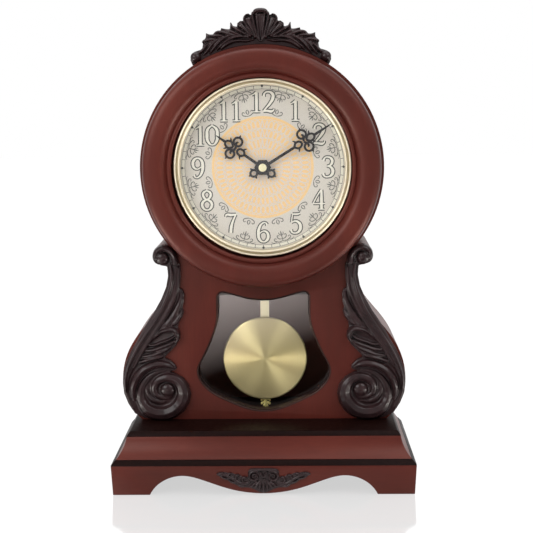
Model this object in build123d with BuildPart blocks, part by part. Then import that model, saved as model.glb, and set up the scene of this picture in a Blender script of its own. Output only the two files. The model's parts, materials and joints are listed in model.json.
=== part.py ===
from build123d import *
import os
from math import cos, radians, sin

# A mantel clock with a pendulum, in millimetres.
# Origin on the floor under the middle of the base, +Z up, +X to the viewer's right, front towards -Y.

# Base
base_width = 247.6
base_depth = 141.0
plinth_height = 24.3
plinth_board = 14.0
plinth_taper = 1.2
plinth_setback = 0.3
foot_length = 30.1
arch_height = 16.0
arch_top_half = 66.0
arch_shoulder = (81.9, 11.3)
arch_flank = (48.6, 12.1)
apron_flank = (27.2, 4.7)
apron_belly = (8.7, 1.4)
lower_lip_height = 4.2
lower_lip_slope = 3.5
cove_height = 17.1
cove_setback = 3.9
cove_sag = 1.6
upper_lip_height = 4.0
upper_lip_inset = 12.0
upper_lip_overhang = 0.2
upper_lip_slope = 2.7

# Case
panel_setback = 53.0
panel_thick = 10.0
case_depth = 82.5
back_thick = 4.0
side_thick = 14.0
head_radius = 100.5
head_rise = 211.4
hoop_thick = 10.0
foot_half = 103.3
foot_lead = (0.7, 0.7)
belly_half = 118.9
belly_rise = 32.9
hip_half = 102.0
hip_rise = 76.9
waist_half = 78.8
waist_rise = 124.9
curl_half = 82.0
curl_rise = 139.9
curl_radius = 9.0
curl_join = 7.2
curl_join_angle = 132.0

# Window, its points above the base
window_top_mid = 100.8
window_shoulder = (33.3, 107.7)
window_top_lead = (-0.9, -0.2)
window_corner = (37.7, 103.6)
window_corner_mid = (36.7, 106.4)
window_neck = (38.7, 81.5)
window_flare = (50.8, 51.8)
window_wide = (54.8, 42.1)
window_heel = (48.0, 27.5)
window_sole = (29.4, 16.3)
window_low = 7.9
glass_half = 62.0
glass_margin = 6.0
glass_thick = 2.0
clip_gap = 0.3
clip_size = 8.0
clip_tab = 4.0
clip_thick = 1.0
clip_inset = 20.0
clip_spread = 52.0

# Turned ring and dial
ring_radius = 97.5
ring_bore = 73.6
ring_height = 19.5
ring_side = 11.0
ring_bead = 4.0
ring_bead_height = 14.0
ring_bead_crown = 1.3
ring_quirk = 0.8
ring_lead = (0.45, -0.9)
ring_gap = 0.3
insert_shift = (0.8, 0.8)
backing_thick = 3.0
dial_thick = 0.8
bezel_radius = 72.1
bezel_wall = 1.2
bezel_lip = 4.7
bezel_lip_height = 2.2
spacer_width = 2.4
spacer_height = 7.3
lens_thick = 1.8
lens_clear = 0.2

# Movement
post_radius = 4.0
post_clear = 0.2
post_stand = 0.3
nut_flats = 12.0
nut_height = 2.0
pipe_radius = 2.7
pipe_wall = 0.95
arbor_radius = 1.65
fit = 0.1
pivot_fit = 0.05
hand_thick = 0.5
hour_hand_gap = 0.4
minute_hand_gap = 0.9
cap_radius = 3.3
cap_height = 1.5
cap_round = 0.9
hand_hub_wall = 2.4
hand_stem = 1.4
hand_loop_step = 0.8
hand_loop_wall = 1.8
hand_spear_gap = 2.0
hand_tail_radius = 3.2
hand_tail_hole = 1.6
hour_hand_length = 46.0
hour_loop_radius = 4.0
hour_loop_place = 27.5
hour_tail = 10.0
hour_hand_angle = 305.0
minute_hand_length = 66.5
minute_loop_radius = 4.2
minute_loop_place = 41.5
minute_tail = 11.5
minute_hand_angle = 58.0
housing_depth = 16.0
housing_height = 60.0
housing_wall = 2.0
room_width = 58.0
cover_thick = 2.0
battery_radius = 7.25
battery_length = 50.5
battery_clear = 0.3
contact_thick = 0.6
board_width = 52.0
board_height = 7.0
board_thick = 1.2
knob_radius = 5.0
knob_height = 5.5
shaft_radius = 1.5
switch_travel = 3.0
switch_stem = (3.0, 2.0)
switch_cap = (6.0, 4.0)
switch_height = 2.5
switch_flange = 0.8
switch_gap = 0.3
switch_place = (14.0, 22.0)
coil_radius = 2.6
coil_length = 28.0
coil_place = (-2.0, -21.0)
core_radius = 1.0
stator_thick = 1.0

# Wheel train: teeth, modules, then tooth sizes as shares of a module or of a pitch
cannon_teeth = 12
minute_wheel_teeth = 36
minute_pinion_teeth = 10
hour_teeth = 40
setting_teeth = 12
centre_teeth = 64
third_pinion_teeth = 8
third_teeth = 60
rotor_teeth = 8
motion_module = 0.5
train_module = 0.4
tooth_depth = 1.15
tooth_rise = 0.85
tooth_root_share = 0.25
tooth_tip_share = 0.08
wheel_thick = 1.2
pinion_overlap = 0.1
minute_direction = 0.0
setting_direction = -60.0
third_direction = 150.0
rotor_direction = 240.0
rotor_magnet_radius = 2.8
rotor_magnet_height = 2.5
rotor_gap = 0.8
pivot_radius = 0.6
pivot_depth = 1.0
stud_pin_radius = 0.75
layer_gap = 0.3
layer_step = 1.3
knob_gap = 0.4
knob_flutes = 18
knob_flute_radius = 0.5
stator_post_shift = (-3.5, -10.0)
stator_post_radius = 1.8
stator_ring_radius = 5.2
boss_radius = 3.0

# Pendulum
pivot_drop = 39.0
tongue_half = 12.0
tongue_length = 38.0
pin_radius = 1.2
pin_head_radius = 2.4
pin_head_height = 1.0
pivot_play = 0.3
yoke_half = 5.0
yoke_length = 24.0
yoke_rise = 4.0
yoke_thick = 3.0
yoke_offset = 7.0
yoke_round = 3.0
drive_coil_radius = 7.0
drive_gap = 0.8
drive_magnet_radius = 5.0
drive_magnet_thick = 2.0
drive_drop = 17.0
rod_half = 3.75
rod_thick = 0.8
rod_top_drop = 10.0
bob_radius = 35.8
bob_drop = 125.0
bob_thick = 5.0
bob_dome = 1.8
bob_edge_lead = (1, 0.15)
finial_drop = 9.0
finial_shoulder = 1.6
finial_half = 4.2
finial_thick = 1.6

# Back, door and speaker
door_width = 108.0
door_height = 116.0
door_drop = 2.5
door_gap = 0.8
knuckle_radius = 1.8
knuckle_length = 7.0
knuckle_gap = 0.3
hinge_pin_radius = 0.9
leaf_width = 13.0
leaf_thick = 0.8
hinge_spread = 76.0
door_knob_radius = 5.0
door_knob_height = 5.4
door_knob_inset = 8.0
door_knob_round = 2.2
stud_radius = 2.0
stud_washer_radius = 4.5
stud_washer_thick = 0.8
catch_gap = 0.3
catch_size = (14.0, 10.0, 9.0)
catch_overlap = 8.0
speaker_radius = 25.0
speaker_rise = 42.0
speaker_flange = 1.5
speaker_depth = 13.0
speaker_wall = 1.2
magnet_radius = 12.0
magnet_height = 8.0
cone_thick = 0.8
sound_hole_radius = 2.0
sound_ring_step = 6.5
sound_hole_counts = (1, 6, 12)

# Screws
screw_head_radius = 3.2
screw_shank_radius = 1.6
screw_head_height = 1.8
case_screw_length = 16.0
small_screw_length = 4.5
small_head_radius = 2.0
small_head_height = 0.8
small_shank_radius = 1.0
hoop_screw_angles = (25.0, 70.0, 110.0, 155.0)

# Carvings
scroll_relief = 10.0
scroll_ground = 5.0
band_width = 11.0
ridge_width = 8.5
volute_radius = 21.4
volute_edge = 1.2
volute_inset = 34.9
volute_drop = 11.4
eye_radius = 7.0
leaf_points = (
    (12.0, 62.0),
    (-14.0, 92.0),
    (-17.8, 90.2),
    (-19.3, 85.5),
    (-18.4, 74.8),
    (-13.7, 62.0),
    (-14.7, 53.4),
    (-11.0, 43.8),
    (-3.3, 34.1),
    (-6.4, 31.4),
    (-10.7, 24.4),
    (-4.0, 20.0),
    (24.0, 18.0),
)
crest_thick = 13.0
crest_ground = 9.0
crest_overhang = 4.0
apron_relief = 3.4
apron_ground = 2.4
apron_carving_lift = 0.6
apron_points = (
    (2.9, 1.7),
    (6.3, 0.8),
    (9.3, 3.7),
    (14.6, 6.8),
    (21.4, 7.4),
    (28.4, 9.9),
    (35.9, 12.0),
    (39.8, 15.0),
    (38.5, 17.1),
    (27.7, 15.3),
    (22.3, 15.3),
    (15.9, 13.6),
    (12.3, 16.3),
    (12.6, 18.4),
    (10.3, 20.6),
    (0.0, 21.4),
)
apron_shell_rise = 8.7
apron_shell_half = 7.8
crest_tips = (
    (50.0, -30.0),
    (57.5, -15.8),
    (57.9, -11.4),
    (56.0, -7.4),
    (53.0, -5.0),
    (48.5, -4.6),
    (46.7, -1.5),
    (47.3, 2.2),
    (43.6, 5.5),
    (44.8, 8.6),
    (39.2, 7.4),
    (34.0, 11.4),
    (32.0, 12.6),
    (25.5, 12.7),
    (24.4, 17.6),
    (21.2, 15.0),
)
crest_lobes = (
    ((17.6, 18.7), (14.1, 18.9)),
    ((11.2, 23.7), (7.0, 24.3)),
    ((4.4, 28.0), (0.0, 29.0)),
)
shell_rise = 13.0
shell_half = 11.0
shell_height = 26.0

# Levels and depths that follow from the sizes above
carving_proud = apron_relief - plinth_setback
base_y = carving_proud / 2
front_y = base_y - base_depth / 2
rear_y = base_y + base_depth / 2
plinth_width = base_width - 2 * plinth_setback
plinth_depth = base_depth - 2 * plinth_setback
cove_z = plinth_height + lower_lip_height
upper_lip_z = cove_z + cove_height
body_z = upper_lip_z + upper_lip_height
upper_lip_half = base_width / 2 - upper_lip_inset
panel_front = front_y + panel_setback
panel_back = panel_front + panel_thick
case_back = panel_front + case_depth
wall_back = case_back - back_thick
head_z = body_z + head_rise
belly_z = body_z + belly_rise
hip_z = body_z + hip_rise
waist_z = body_z + waist_rise
curl_z = body_z + curl_rise
dial_centre = (insert_shift[0], head_z + insert_shift[1])
backing_front = panel_front - backing_thick
dial_front = backing_front - dial_thick
nut_front = dial_front - nut_height
post_front = nut_front - post_stand
hour_hand_back = post_front - hour_hand_gap
minute_hand_back = hour_hand_back - hand_thick - minute_hand_gap
hands_front = minute_hand_back - hand_thick
lens_back = dial_front - spacer_height
lens_front = lens_back - lens_thick
room_front = panel_back + housing_wall
room_back = panel_back + housing_depth
cover_back = room_back + cover_thick
bay_half = battery_radius + battery_clear
bay_place = room_width / 2 + housing_wall + bay_half
bay_height = battery_length + 2 * contact_thick
housing_half = bay_place + bay_half + housing_wall
pivot_z = dial_centre[1] - pivot_drop
yoke_front = room_front + yoke_offset
yoke_back = yoke_front + yoke_thick
bob_z = pivot_z - bob_drop
finial_top = bob_z - bob_radius + finial_shoulder
door_z = head_z - door_drop
hinge_x = door_width / 2 + door_gap / 2
hinge_y = case_back + knuckle_radius
speaker_z = body_z + speaker_rise
glass_low = body_z + window_low - glass_margin
glass_high = body_z + window_shoulder[1] + glass_margin
glass_seat = panel_back + glass_thick
clip_x = glass_half + clip_gap + clip_size / 2
clip_levels = (glass_low + clip_inset, glass_low + clip_inset + clip_spread)
clip_places = [(side * clip_x, z) for side in (-1, 1) for z in clip_levels]
clip_seat = panel_back + clip_thick
volute_x = belly_half - volute_inset
volute_z = belly_z - volute_drop


def facing(y):
    """Plane across the clock at depth y that looks to the front; its own axes are X and Z."""
    return Plane(origin=(0, y, 0), x_dir=(1, 0, 0), z_dir=(0, -1, 0))


def level(z):
    """Level plane at height z, centred on the base."""
    return Plane(origin=(0, base_y, z))


def turning(centre):
    """Plane for a turned profile about a front-to-back axis; its own axes are radius and Y."""
    return Plane(origin=(centre[0], 0, centre[1]), x_dir=(1, 0, 0), z_dir=(0, 0, 1))


def turning_axis(centre):
    """Front-to-back axis through a point of the clock's face."""
    return Axis(origin=(centre[0], 0, centre[1]), direction=(0, 1, 0))


def finish(piece, name):
    """Label a finished piece and write it."""
    piece.part.label = name
    export_step(piece.part, f"parts/{name}.step")


def disc(centre, radius, y_back, y_front, mode=Mode.ADD):
    """Round plate or hole about a front-to-back axis, between two depths."""
    with BuildSketch(facing(y_back)) as outline:
        with Locations(centre):
            Circle(radius)
    extrude(outline.sketch, amount=y_back - y_front, mode=mode)


def block(centre, size, y_back, y_front, mode=Mode.ADD):
    """Rectangular plate or pocket between two depths, its centre and size given in X and Z."""
    with BuildSketch(facing(y_back)) as outline:
        with Locations(centre):
            Rectangle(*size)
    extrude(outline.sketch, amount=y_back - y_front, mode=mode)


def small_pilots(places, seat):
    """Holes for small screws whose heads seat at a depth."""
    for place in places:
        disc(place, small_shank_radius + pivot_fit, seat, seat - small_screw_length, Mode.SUBTRACT)


def small_screws(places, seat):
    """Small screws driven forwards, their heads seated at a depth."""
    for place in places:
        disc(place, small_head_radius, seat + small_head_height, seat)
        disc(place, small_shank_radius, seat, seat - small_screw_length)


def beside(centre, distance, direction):
    """Point at a distance from another, in a direction seen from the front."""
    angle = radians(direction)
    return (centre[0] + distance * cos(angle), centre[1] + distance * sin(angle))


os.makedirs("parts", exist_ok=True)


# Base


def plinth_block(mode=Mode.ADD):
    """Whole plinth, a little narrower at the floor than under the lip."""
    with BuildSketch(level(0)) as floor:
        Rectangle(plinth_width - 2 * plinth_taper, plinth_depth - 2 * plinth_taper)
    with BuildSketch(level(plinth_height)) as top:
        Rectangle(plinth_width, plinth_depth)
    loft([floor.sketch, top.sketch], mode=mode)


def keep_board(x_range, y_range):
    """Cut the plinth down to one of its boards."""
    middle = ((x_range[0] + x_range[1]) / 2, (y_range[0] + y_range[1]) / 2, plinth_height / 2)
    with Locations(middle):
        Box(x_range[1] - x_range[0], y_range[1] - y_range[0], plinth_height, mode=Mode.INTERSECT)


board_x = base_width / 2 - plinth_board
board_front = front_y + plinth_board
board_rear = rear_y - plinth_board
foot_inner = plinth_width / 2 - plinth_taper - foot_length

with BuildPart() as base_apron_front:
    plinth_block()
    keep_board((-base_width / 2, base_width / 2), (front_y, board_front))
    with BuildSketch(facing(rear_y)) as scallop:
        with BuildLine():
            arch_top = (arch_top_half, arch_height)
            right_edge = [(foot_inner, 0), arch_shoulder, arch_top, arch_flank, apron_flank, apron_belly]
            left_edge = [(-x, z) for x, z in reversed(right_edge)]
            Spline(*right_edge, *left_edge)
            Line(left_edge[-1], right_edge[0])
        make_face()
    extrude(amount=base_depth, mode=Mode.SUBTRACT)
finish(base_apron_front, "base_apron_front")

with BuildPart() as base_side_left:
    plinth_block()
    keep_board((-base_width / 2, -board_x), (board_front, rear_y))
finish(base_side_left, "base_side_left")

with BuildPart() as base_side_right:
    plinth_block()
    keep_board((board_x, base_width / 2), (board_front, rear_y))
finish(base_side_right, "base_side_right")

with BuildPart() as base_rail_rear:
    plinth_block()
    keep_board((-board_x, board_x), (board_rear, rear_y))
finish(base_rail_rear, "base_rail_rear")

with BuildPart() as base_lower_lip:
    with BuildSketch(level(plinth_height)) as lip_foot:
        Rectangle(base_width, base_depth)
    with BuildSketch(level(cove_z)) as lip_top:
        Rectangle(base_width - 2 * lower_lip_slope, base_depth - 2 * lower_lip_slope)
    loft([lip_foot.sketch, lip_top.sketch])
finish(base_lower_lip, "base_lower_lip")

cove_low = base_width / 2 - cove_setback
cove_high = upper_lip_half - upper_lip_overhang


def cove_waste(low, high):
    """Wood cut away outside the slanted, slightly hollow face of the cove."""
    middle = ((low + high) / 2 - cove_sag, cove_z + cove_height / 2)
    with BuildSketch() as waste:
        with BuildLine():
            ThreePointArc((low, cove_z), middle, (high, upper_lip_z))
            Polyline((high, upper_lip_z), (base_width, upper_lip_z), (base_width, cove_z), (low, cove_z))
        make_face()
    return waste.sketch


cove_front_low = base_depth / 2 - cove_setback
cove_front_high = base_depth / 2 - upper_lip_inset - upper_lip_overhang

with BuildPart() as base_cove_molding:
    with BuildSketch(level(cove_z)):
        Rectangle(2 * cove_low, 2 * cove_front_low)
    extrude(amount=cove_height)
    with BuildSketch(facing(rear_y)):
        add(cove_waste(cove_low, cove_high))
        mirror(about=Plane.YZ)
    extrude(amount=base_depth, mode=Mode.SUBTRACT)
    with BuildSketch(Plane(origin=(base_width / 2, base_y, 0), x_dir=(0, -1, 0), z_dir=(-1, 0, 0))):
        add(cove_waste(cove_front_low, cove_front_high))
    extrude(amount=base_width, mode=Mode.SUBTRACT)
    with BuildSketch(level(cove_z)):
        Rectangle(2 * (cove_high - plinth_board), 2 * (cove_front_high - plinth_board))
    extrude(amount=cove_height, mode=Mode.SUBTRACT)
finish(base_cove_molding, "base_cove_molding")

upper_lip_front = front_y + upper_lip_inset
upper_lip_rear = rear_y - cove_setback


def upper_lip_board(slope):
    """Outline of the upper lip, drawn in at its front and sides by this much."""
    front = upper_lip_front + slope
    with Locations((0, (front + upper_lip_rear) / 2)):
        Rectangle(2 * (upper_lip_half - slope), upper_lip_rear - front)


with BuildPart() as base_upper_lip:
    with BuildSketch(Plane.XY.offset(upper_lip_z)) as board_foot:
        upper_lip_board(0)
    with BuildSketch(Plane.XY.offset(body_z)) as board_top:
        upper_lip_board(upper_lip_slope)
    loft([board_foot.sketch, board_top.sketch])
finish(base_upper_lip, "base_upper_lip")


# Case


def body_half():
    """Right half of the body, seen from the front, from its foot to the curl."""
    with BuildSketch() as half:
        with BuildLine():
            Spline((foot_half, body_z), (belly_half, belly_z), tangents=(foot_lead, (0, 1)))
            Spline(
                (belly_half, belly_z),
                (hip_half, hip_z),
                (waist_half, waist_z),
                tangents=((0, 1), (0, 1)),
            )
            Polyline(
                (waist_half, waist_z),
                (waist_half, curl_z),
                beside((curl_half, curl_z), curl_join, curl_join_angle),
                (0, curl_z),
                (0, body_z),
                (foot_half, body_z),
            )
        make_face()
    return half.sketch


def case_outline():
    """Outline of the case from the front: round head on the waisted body."""
    with BuildSketch() as outline:
        add(body_half())
        with Locations((curl_half, curl_z)):
            Circle(curl_radius)
        mirror(about=Plane.YZ)
        with Locations((0, head_z)):
            Circle(head_radius)
    return outline.sketch


def raised(point):
    """Point of the window, from its height above the base."""
    return (point[0], body_z + point[1])


def window_outline():
    """Shield-shaped window: sagging top edge, hollow sides and a full bottom."""
    with BuildSketch() as outline:
        with BuildLine():
            ThreePointArc(raised(window_corner), raised(window_corner_mid), raised(window_shoulder))
            Spline(
                raised(window_shoulder),
                raised((0, window_top_mid)),
                tangents=(window_top_lead, (-1, 0)),
            )
            Line(raised((0, window_top_mid)), raised((0, window_low)))
            Spline(
                raised((0, window_low)),
                raised(window_sole),
                raised(window_heel),
                raised(window_wide),
                raised(window_flare),
                raised(window_neck),
                raised(window_corner),
                tangents=((1, 0), (0, 1)),
            )
        make_face()
        mirror(about=Plane.YZ)
    return outline.sketch


with BuildPart() as front_panel:
    with BuildSketch(facing(panel_back)):
        add(case_outline())
        add(window_outline(), mode=Mode.SUBTRACT)
        with Locations(dial_centre):
            Circle(post_radius + post_clear, mode=Mode.SUBTRACT)
    extrude(amount=panel_thick)
    small_pilots(clip_places, clip_seat)
finish(front_panel, "front_panel")

wall_depth = wall_back - panel_back
belly_screw = (belly_half - side_thick / 2, belly_z)
waist_screw = (waist_half - side_thick / 2, waist_z)
hoop_screws = [beside((0, head_z), head_radius - hoop_thick / 2, angle) for angle in hoop_screw_angles]
side_screws = [belly_screw, waist_screw]
left_screws = [(-x, z) for x, z in side_screws]


def screw_pilots(places):
    """Pilot holes for the back panel's screws, from the rear face of the case."""
    for place in places:
        disc(place, screw_shank_radius + pivot_fit, case_back, case_back - case_screw_length, Mode.SUBTRACT)


def side_wall():
    """Curved side board with the curl at its top end, cut to the round of the head."""
    with BuildSketch(facing(wall_back)) as wall:
        half = body_half()
        add(half)
        add(Pos(-side_thick, 0) * half, mode=Mode.SUBTRACT)
        with Locations((curl_half, curl_z)):
            Circle(curl_radius)
        with Locations((0, head_z)):
            Circle(head_radius, mode=Mode.SUBTRACT)
    return wall.sketch


with BuildPart() as side_right:
    extrude(side_wall(), amount=wall_depth)
    screw_pilots(side_screws)
finish(side_right, "side_right")

with BuildPart() as side_left:
    extrude(mirror(side_wall(), about=Plane.YZ, mode=Mode.PRIVATE), amount=wall_depth)
    screw_pilots(left_screws)
finish(side_left, "side_left")

hoop_end = waist_half - side_thick

with BuildPart() as head_hoop:
    with BuildSketch(facing(wall_back)):
        with Locations((0, head_z)):
            Circle(head_radius)
            Circle(head_radius - hoop_thick, mode=Mode.SUBTRACT)
        with Locations((0, head_z - head_radius / 2)):
            Rectangle(2 * hoop_end, head_radius, mode=Mode.SUBTRACT)
    extrude(amount=wall_depth)
    screw_pilots(hoop_screws)
finish(head_hoop, "head_hoop")


# Turned ring and dial

with BuildPart() as dial_ring:
    bead_y = panel_front - ring_bead_height
    bead_outer = ring_bore + ring_bead
    face_inner = bead_outer + ring_quirk
    face_y = panel_front - ring_height
    face_mid = (face_inner + ring_radius) / 2
    with BuildSketch(turning((0, head_z))):
        with BuildLine():
            Line((ring_bore, panel_front), (ring_bore, bead_y))
            ThreePointArc(
                (ring_bore, bead_y),
                ((ring_bore + bead_outer) / 2, bead_y - ring_bead_crown),
                (bead_outer, bead_y),
            )
            Line((bead_outer, bead_y), (face_inner, bead_y - ring_quirk))
            Spline(
                (face_inner, bead_y - ring_quirk),
                (face_mid, face_y),
                (ring_radius, panel_front - ring_side),
                tangents=(ring_lead, (0, 1)),
            )
            Polyline(
                (ring_radius, panel_front - ring_side),
                (ring_radius, panel_front),
                (ring_bore, panel_front),
            )
        make_face()
    revolve(axis=turning_axis((0, head_z)))
finish(dial_ring, "dial_ring")

with BuildPart() as dial_backing:
    disc(dial_centre, bezel_radius, panel_front, backing_front)
    disc(dial_centre, post_radius + post_clear, panel_front, backing_front, mode=Mode.SUBTRACT)
finish(dial_backing, "dial_backing")

bezel_inner = bezel_radius - bezel_wall
lens_radius = bezel_inner - lens_clear

with BuildPart() as dial_plate:
    disc(dial_centre, lens_radius, backing_front, dial_front)
    disc(dial_centre, post_radius + post_clear, backing_front, dial_front, mode=Mode.SUBTRACT)
finish(dial_plate, "dial_plate")

with BuildPart() as bezel:
    lip_front = lens_front - bezel_lip_height
    lip_inner = bezel_radius - bezel_lip
    with BuildSketch(turning(dial_centre)):
        with BuildLine():
            Polyline(
                (lip_inner, lens_front),
                (bezel_inner, lens_front),
                (bezel_inner, backing_front),
                (bezel_radius, backing_front),
                (bezel_radius, lens_front),
            )
            Spline(
                (bezel_radius, lens_front),
                ((bezel_radius + lip_inner) / 2, lip_front),
                (lip_inner, lens_front),
                tangents=((0, -1), (0, 1)),
            )
        make_face()
    revolve(axis=turning_axis(dial_centre))
finish(bezel, "bezel")

with BuildPart() as dial_spacer_ring:
    disc(dial_centre, lens_radius, dial_front, lens_back)
    disc(dial_centre, lens_radius - spacer_width, dial_front, lens_back, mode=Mode.SUBTRACT)
finish(dial_spacer_ring, "dial_spacer_ring")

with BuildPart() as dial_lens:
    disc(dial_centre, lens_radius, lens_back, lens_front)
finish(dial_lens, "dial_lens")

with BuildPart() as fixing_nut:
    with BuildSketch(facing(dial_front)):
        with Locations(dial_centre):
            RegularPolygon(nut_flats / 2, 6, major_radius=False)
            Circle(post_radius + pivot_fit, mode=Mode.SUBTRACT)
    extrude(amount=nut_height)
finish(fixing_nut, "fixing_nut")


def hand_sketch(bore, length, loop_radius, loop_place, tail):
    """Pierced hand pointing up: hub, stem with a cross of open loops, spear tip and small tail."""
    spear_base = loop_place + 2 * loop_radius + hand_spear_gap
    loop_spread = loop_radius + hand_loop_step
    with BuildSketch() as hand:
        Circle(bore + hand_hub_wall)
        with Locations((0, length / 2)):
            Rectangle(hand_stem, length)
        with BuildLine():
            Polyline(
                (0, length),
                (-hand_stem, spear_base),
                (hand_stem, spear_base),
                close=True,
            )
        make_face()
        with Locations((0, loop_place)):
            with PolarLocations(loop_spread, 4):
                Circle(loop_radius)
        with Locations((0, -tail)):
            Circle(hand_tail_radius)
        with Locations((0, -tail / 2)):
            Rectangle(hand_stem, tail)
        with Locations((0, loop_place)):
            with PolarLocations(loop_spread, 4):
                Circle(loop_radius - hand_loop_wall, mode=Mode.SUBTRACT)
        with Locations((0, -tail)):
            Circle(hand_tail_hole, mode=Mode.SUBTRACT)
        Circle(bore, mode=Mode.SUBTRACT)
    return hand.sketch


def place_hand(sketch, angle):
    """Turn a hand clockwise from twelve and move it to the dial's centre."""
    return Pos(*dial_centre) * Rot(0, 0, -angle) * sketch


with BuildPart() as hour_hand:
    with BuildSketch(facing(hour_hand_back)):
        hour_sizes = (hour_hand_length, hour_loop_radius, hour_loop_place, hour_tail)
        add(place_hand(hand_sketch(pipe_radius, *hour_sizes), hour_hand_angle))
    extrude(amount=hand_thick)
finish(hour_hand, "hour_hand")

with BuildPart() as minute_hand:
    with BuildSketch(facing(minute_hand_back)):
        minute_sizes = (minute_hand_length, minute_loop_radius, minute_loop_place, minute_tail)
        add(place_hand(hand_sketch(arbor_radius, *minute_sizes), minute_hand_angle))
    extrude(amount=hand_thick)
finish(minute_hand, "minute_hand")

with BuildPart() as hand_cap:
    disc(dial_centre, cap_radius, hands_front, hands_front - cap_height)
    fillet(hand_cap.faces().sort_by(Axis.Y)[0].edges(), cap_round)
finish(hand_cap, "hand_cap")


# Movement


def gear_face(centre, teeth, module, phase):
    """Spur gear seen from the front, with slim straight-flanked teeth; phase is a tooth's direction."""
    pitch = 360 / teeth
    root = module * (teeth / 2 - tooth_depth)
    tip = module * (teeth / 2 + tooth_rise)
    flank = (
        (root, -tooth_root_share),
        (tip, -tooth_tip_share),
        (tip, tooth_tip_share),
        (root, tooth_root_share),
    )
    points = [
        beside(centre, radius, phase + (tooth + share) * pitch)
        for tooth in range(teeth)
        for radius, share in flank
    ]
    with BuildSketch() as face:
        with BuildLine():
            Polyline(*points, close=True)
        make_face()
    return face.sketch


def gear(centre, teeth, module, phase, y_back, y_front):
    """Solid gear between two depths."""
    with BuildSketch(facing(y_back)) as face:
        add(gear_face(centre, teeth, module, phase))
    extrude(face.sketch, amount=y_back - y_front)


def meshed(teeth, phase, direction, other_teeth):
    """Phase of a gear that meshes with another one lying in the given direction from it."""
    lead = (direction - phase) * teeth / 360
    return direction + 180 - (0.5 - lead) * 360 / other_teeth


def pitch_radius(teeth, module):
    return teeth * module / 2


minute_distance = pitch_radius(cannon_teeth + minute_wheel_teeth, motion_module)
setting_distance = pitch_radius(minute_wheel_teeth + setting_teeth, motion_module)
third_distance = pitch_radius(centre_teeth + third_pinion_teeth, train_module)
rotor_distance = pitch_radius(third_teeth + rotor_teeth, train_module)
hour_gear_module = 2 * minute_distance / (hour_teeth + minute_pinion_teeth)
minute_axis = beside(dial_centre, minute_distance, minute_direction)
setting_axis = beside(minute_axis, setting_distance, setting_direction)
third_axis = beside(dial_centre, third_distance, third_direction)
rotor_axis = beside(third_axis, rotor_distance, rotor_direction)

minute_wheel_phase = meshed(cannon_teeth, 0, minute_direction, minute_wheel_teeth)
setting_phase = meshed(minute_wheel_teeth, minute_wheel_phase, setting_direction, setting_teeth)
hour_phase = meshed(minute_pinion_teeth, minute_wheel_phase, minute_direction + 180, hour_teeth)
third_phase = meshed(centre_teeth, 0, third_direction, third_pinion_teeth)
rotor_phase = meshed(third_teeth, third_phase, rotor_direction, rotor_teeth)

# Layers of the train, each given by the front of its wheel
hour_layer = room_front + layer_gap
motion_layer = hour_layer + wheel_thick + layer_gap
centre_layer = motion_layer + wheel_thick + layer_step
third_layer = centre_layer + wheel_thick + layer_step
rotor_layer = third_layer + wheel_thick + layer_step
stator_y = rotor_layer + rotor_magnet_height / 2


def wheel(centre, teeth, module, phase, layer):
    """Wheel in its layer of the train."""
    gear(centre, teeth, module, phase, layer + wheel_thick, layer)


def pinion(centre, teeth, module, phase, layer):
    """Pinion a little wider than the wheel that it meshes with."""
    gear(centre, teeth, module, phase, layer + wheel_thick + pinion_overlap, layer - pinion_overlap)


with BuildPart() as hour_wheel:
    wheel(dial_centre, hour_teeth, hour_gear_module, hour_phase, hour_layer)
    disc(dial_centre, pipe_radius, hour_layer + wheel_thick, hour_hand_back - hand_thick)
    disc(dial_centre, pipe_radius - pipe_wall, room_back, lens_back, mode=Mode.SUBTRACT)
finish(hour_wheel, "hour_wheel")

with BuildPart() as centre_wheel:
    wheel(dial_centre, centre_teeth, train_module, 0, centre_layer)
    disc(dial_centre, arbor_radius, centre_layer, hands_front)
    pinion(dial_centre, cannon_teeth, motion_module, 0, motion_layer)
    disc(dial_centre, pivot_radius, room_back + pivot_depth, centre_layer)
finish(centre_wheel, "centre_wheel")

with BuildPart() as minute_wheel:
    wheel(minute_axis, minute_wheel_teeth, motion_module, minute_wheel_phase, motion_layer)
    gear(minute_axis, minute_pinion_teeth, hour_gear_module, minute_wheel_phase, motion_layer, hour_layer)
    disc(minute_axis, stud_pin_radius + pivot_fit, room_back, room_front, mode=Mode.SUBTRACT)
finish(minute_wheel, "minute_wheel")

with BuildPart() as third_wheel:
    wheel(third_axis, third_teeth, train_module, third_phase, third_layer)
    pinion_front = centre_layer - pinion_overlap
    gear(third_axis, third_pinion_teeth, train_module, third_phase, third_layer, pinion_front)
    disc(third_axis, pivot_radius, room_back + pivot_depth, room_front - pivot_depth)
finish(third_wheel, "third_wheel")

with BuildPart() as motor_rotor:
    gear(rotor_axis, rotor_teeth, train_module, rotor_phase, rotor_layer, third_layer - pinion_overlap)
    disc(rotor_axis, rotor_magnet_radius, rotor_layer + rotor_magnet_height, rotor_layer)
    disc(rotor_axis, pivot_radius, room_back + pivot_depth, room_front - pivot_depth)
finish(motor_rotor, "motor_rotor")

with BuildPart() as setting_knob:
    wheel(setting_axis, setting_teeth, motion_module, setting_phase, motion_layer)
    disc(setting_axis, pivot_radius, room_back, room_front - pivot_depth)
    disc(setting_axis, shaft_radius, cover_back + knob_gap, motion_layer + wheel_thick)
    with BuildSketch(facing(cover_back + knob_gap + knob_height)):
        with Locations(setting_axis):
            Circle(knob_radius)
            with PolarLocations(knob_radius, knob_flutes):
                Circle(knob_flute_radius, mode=Mode.SUBTRACT)
    extrude(amount=knob_height)
finish(setting_knob, "setting_knob")

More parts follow.
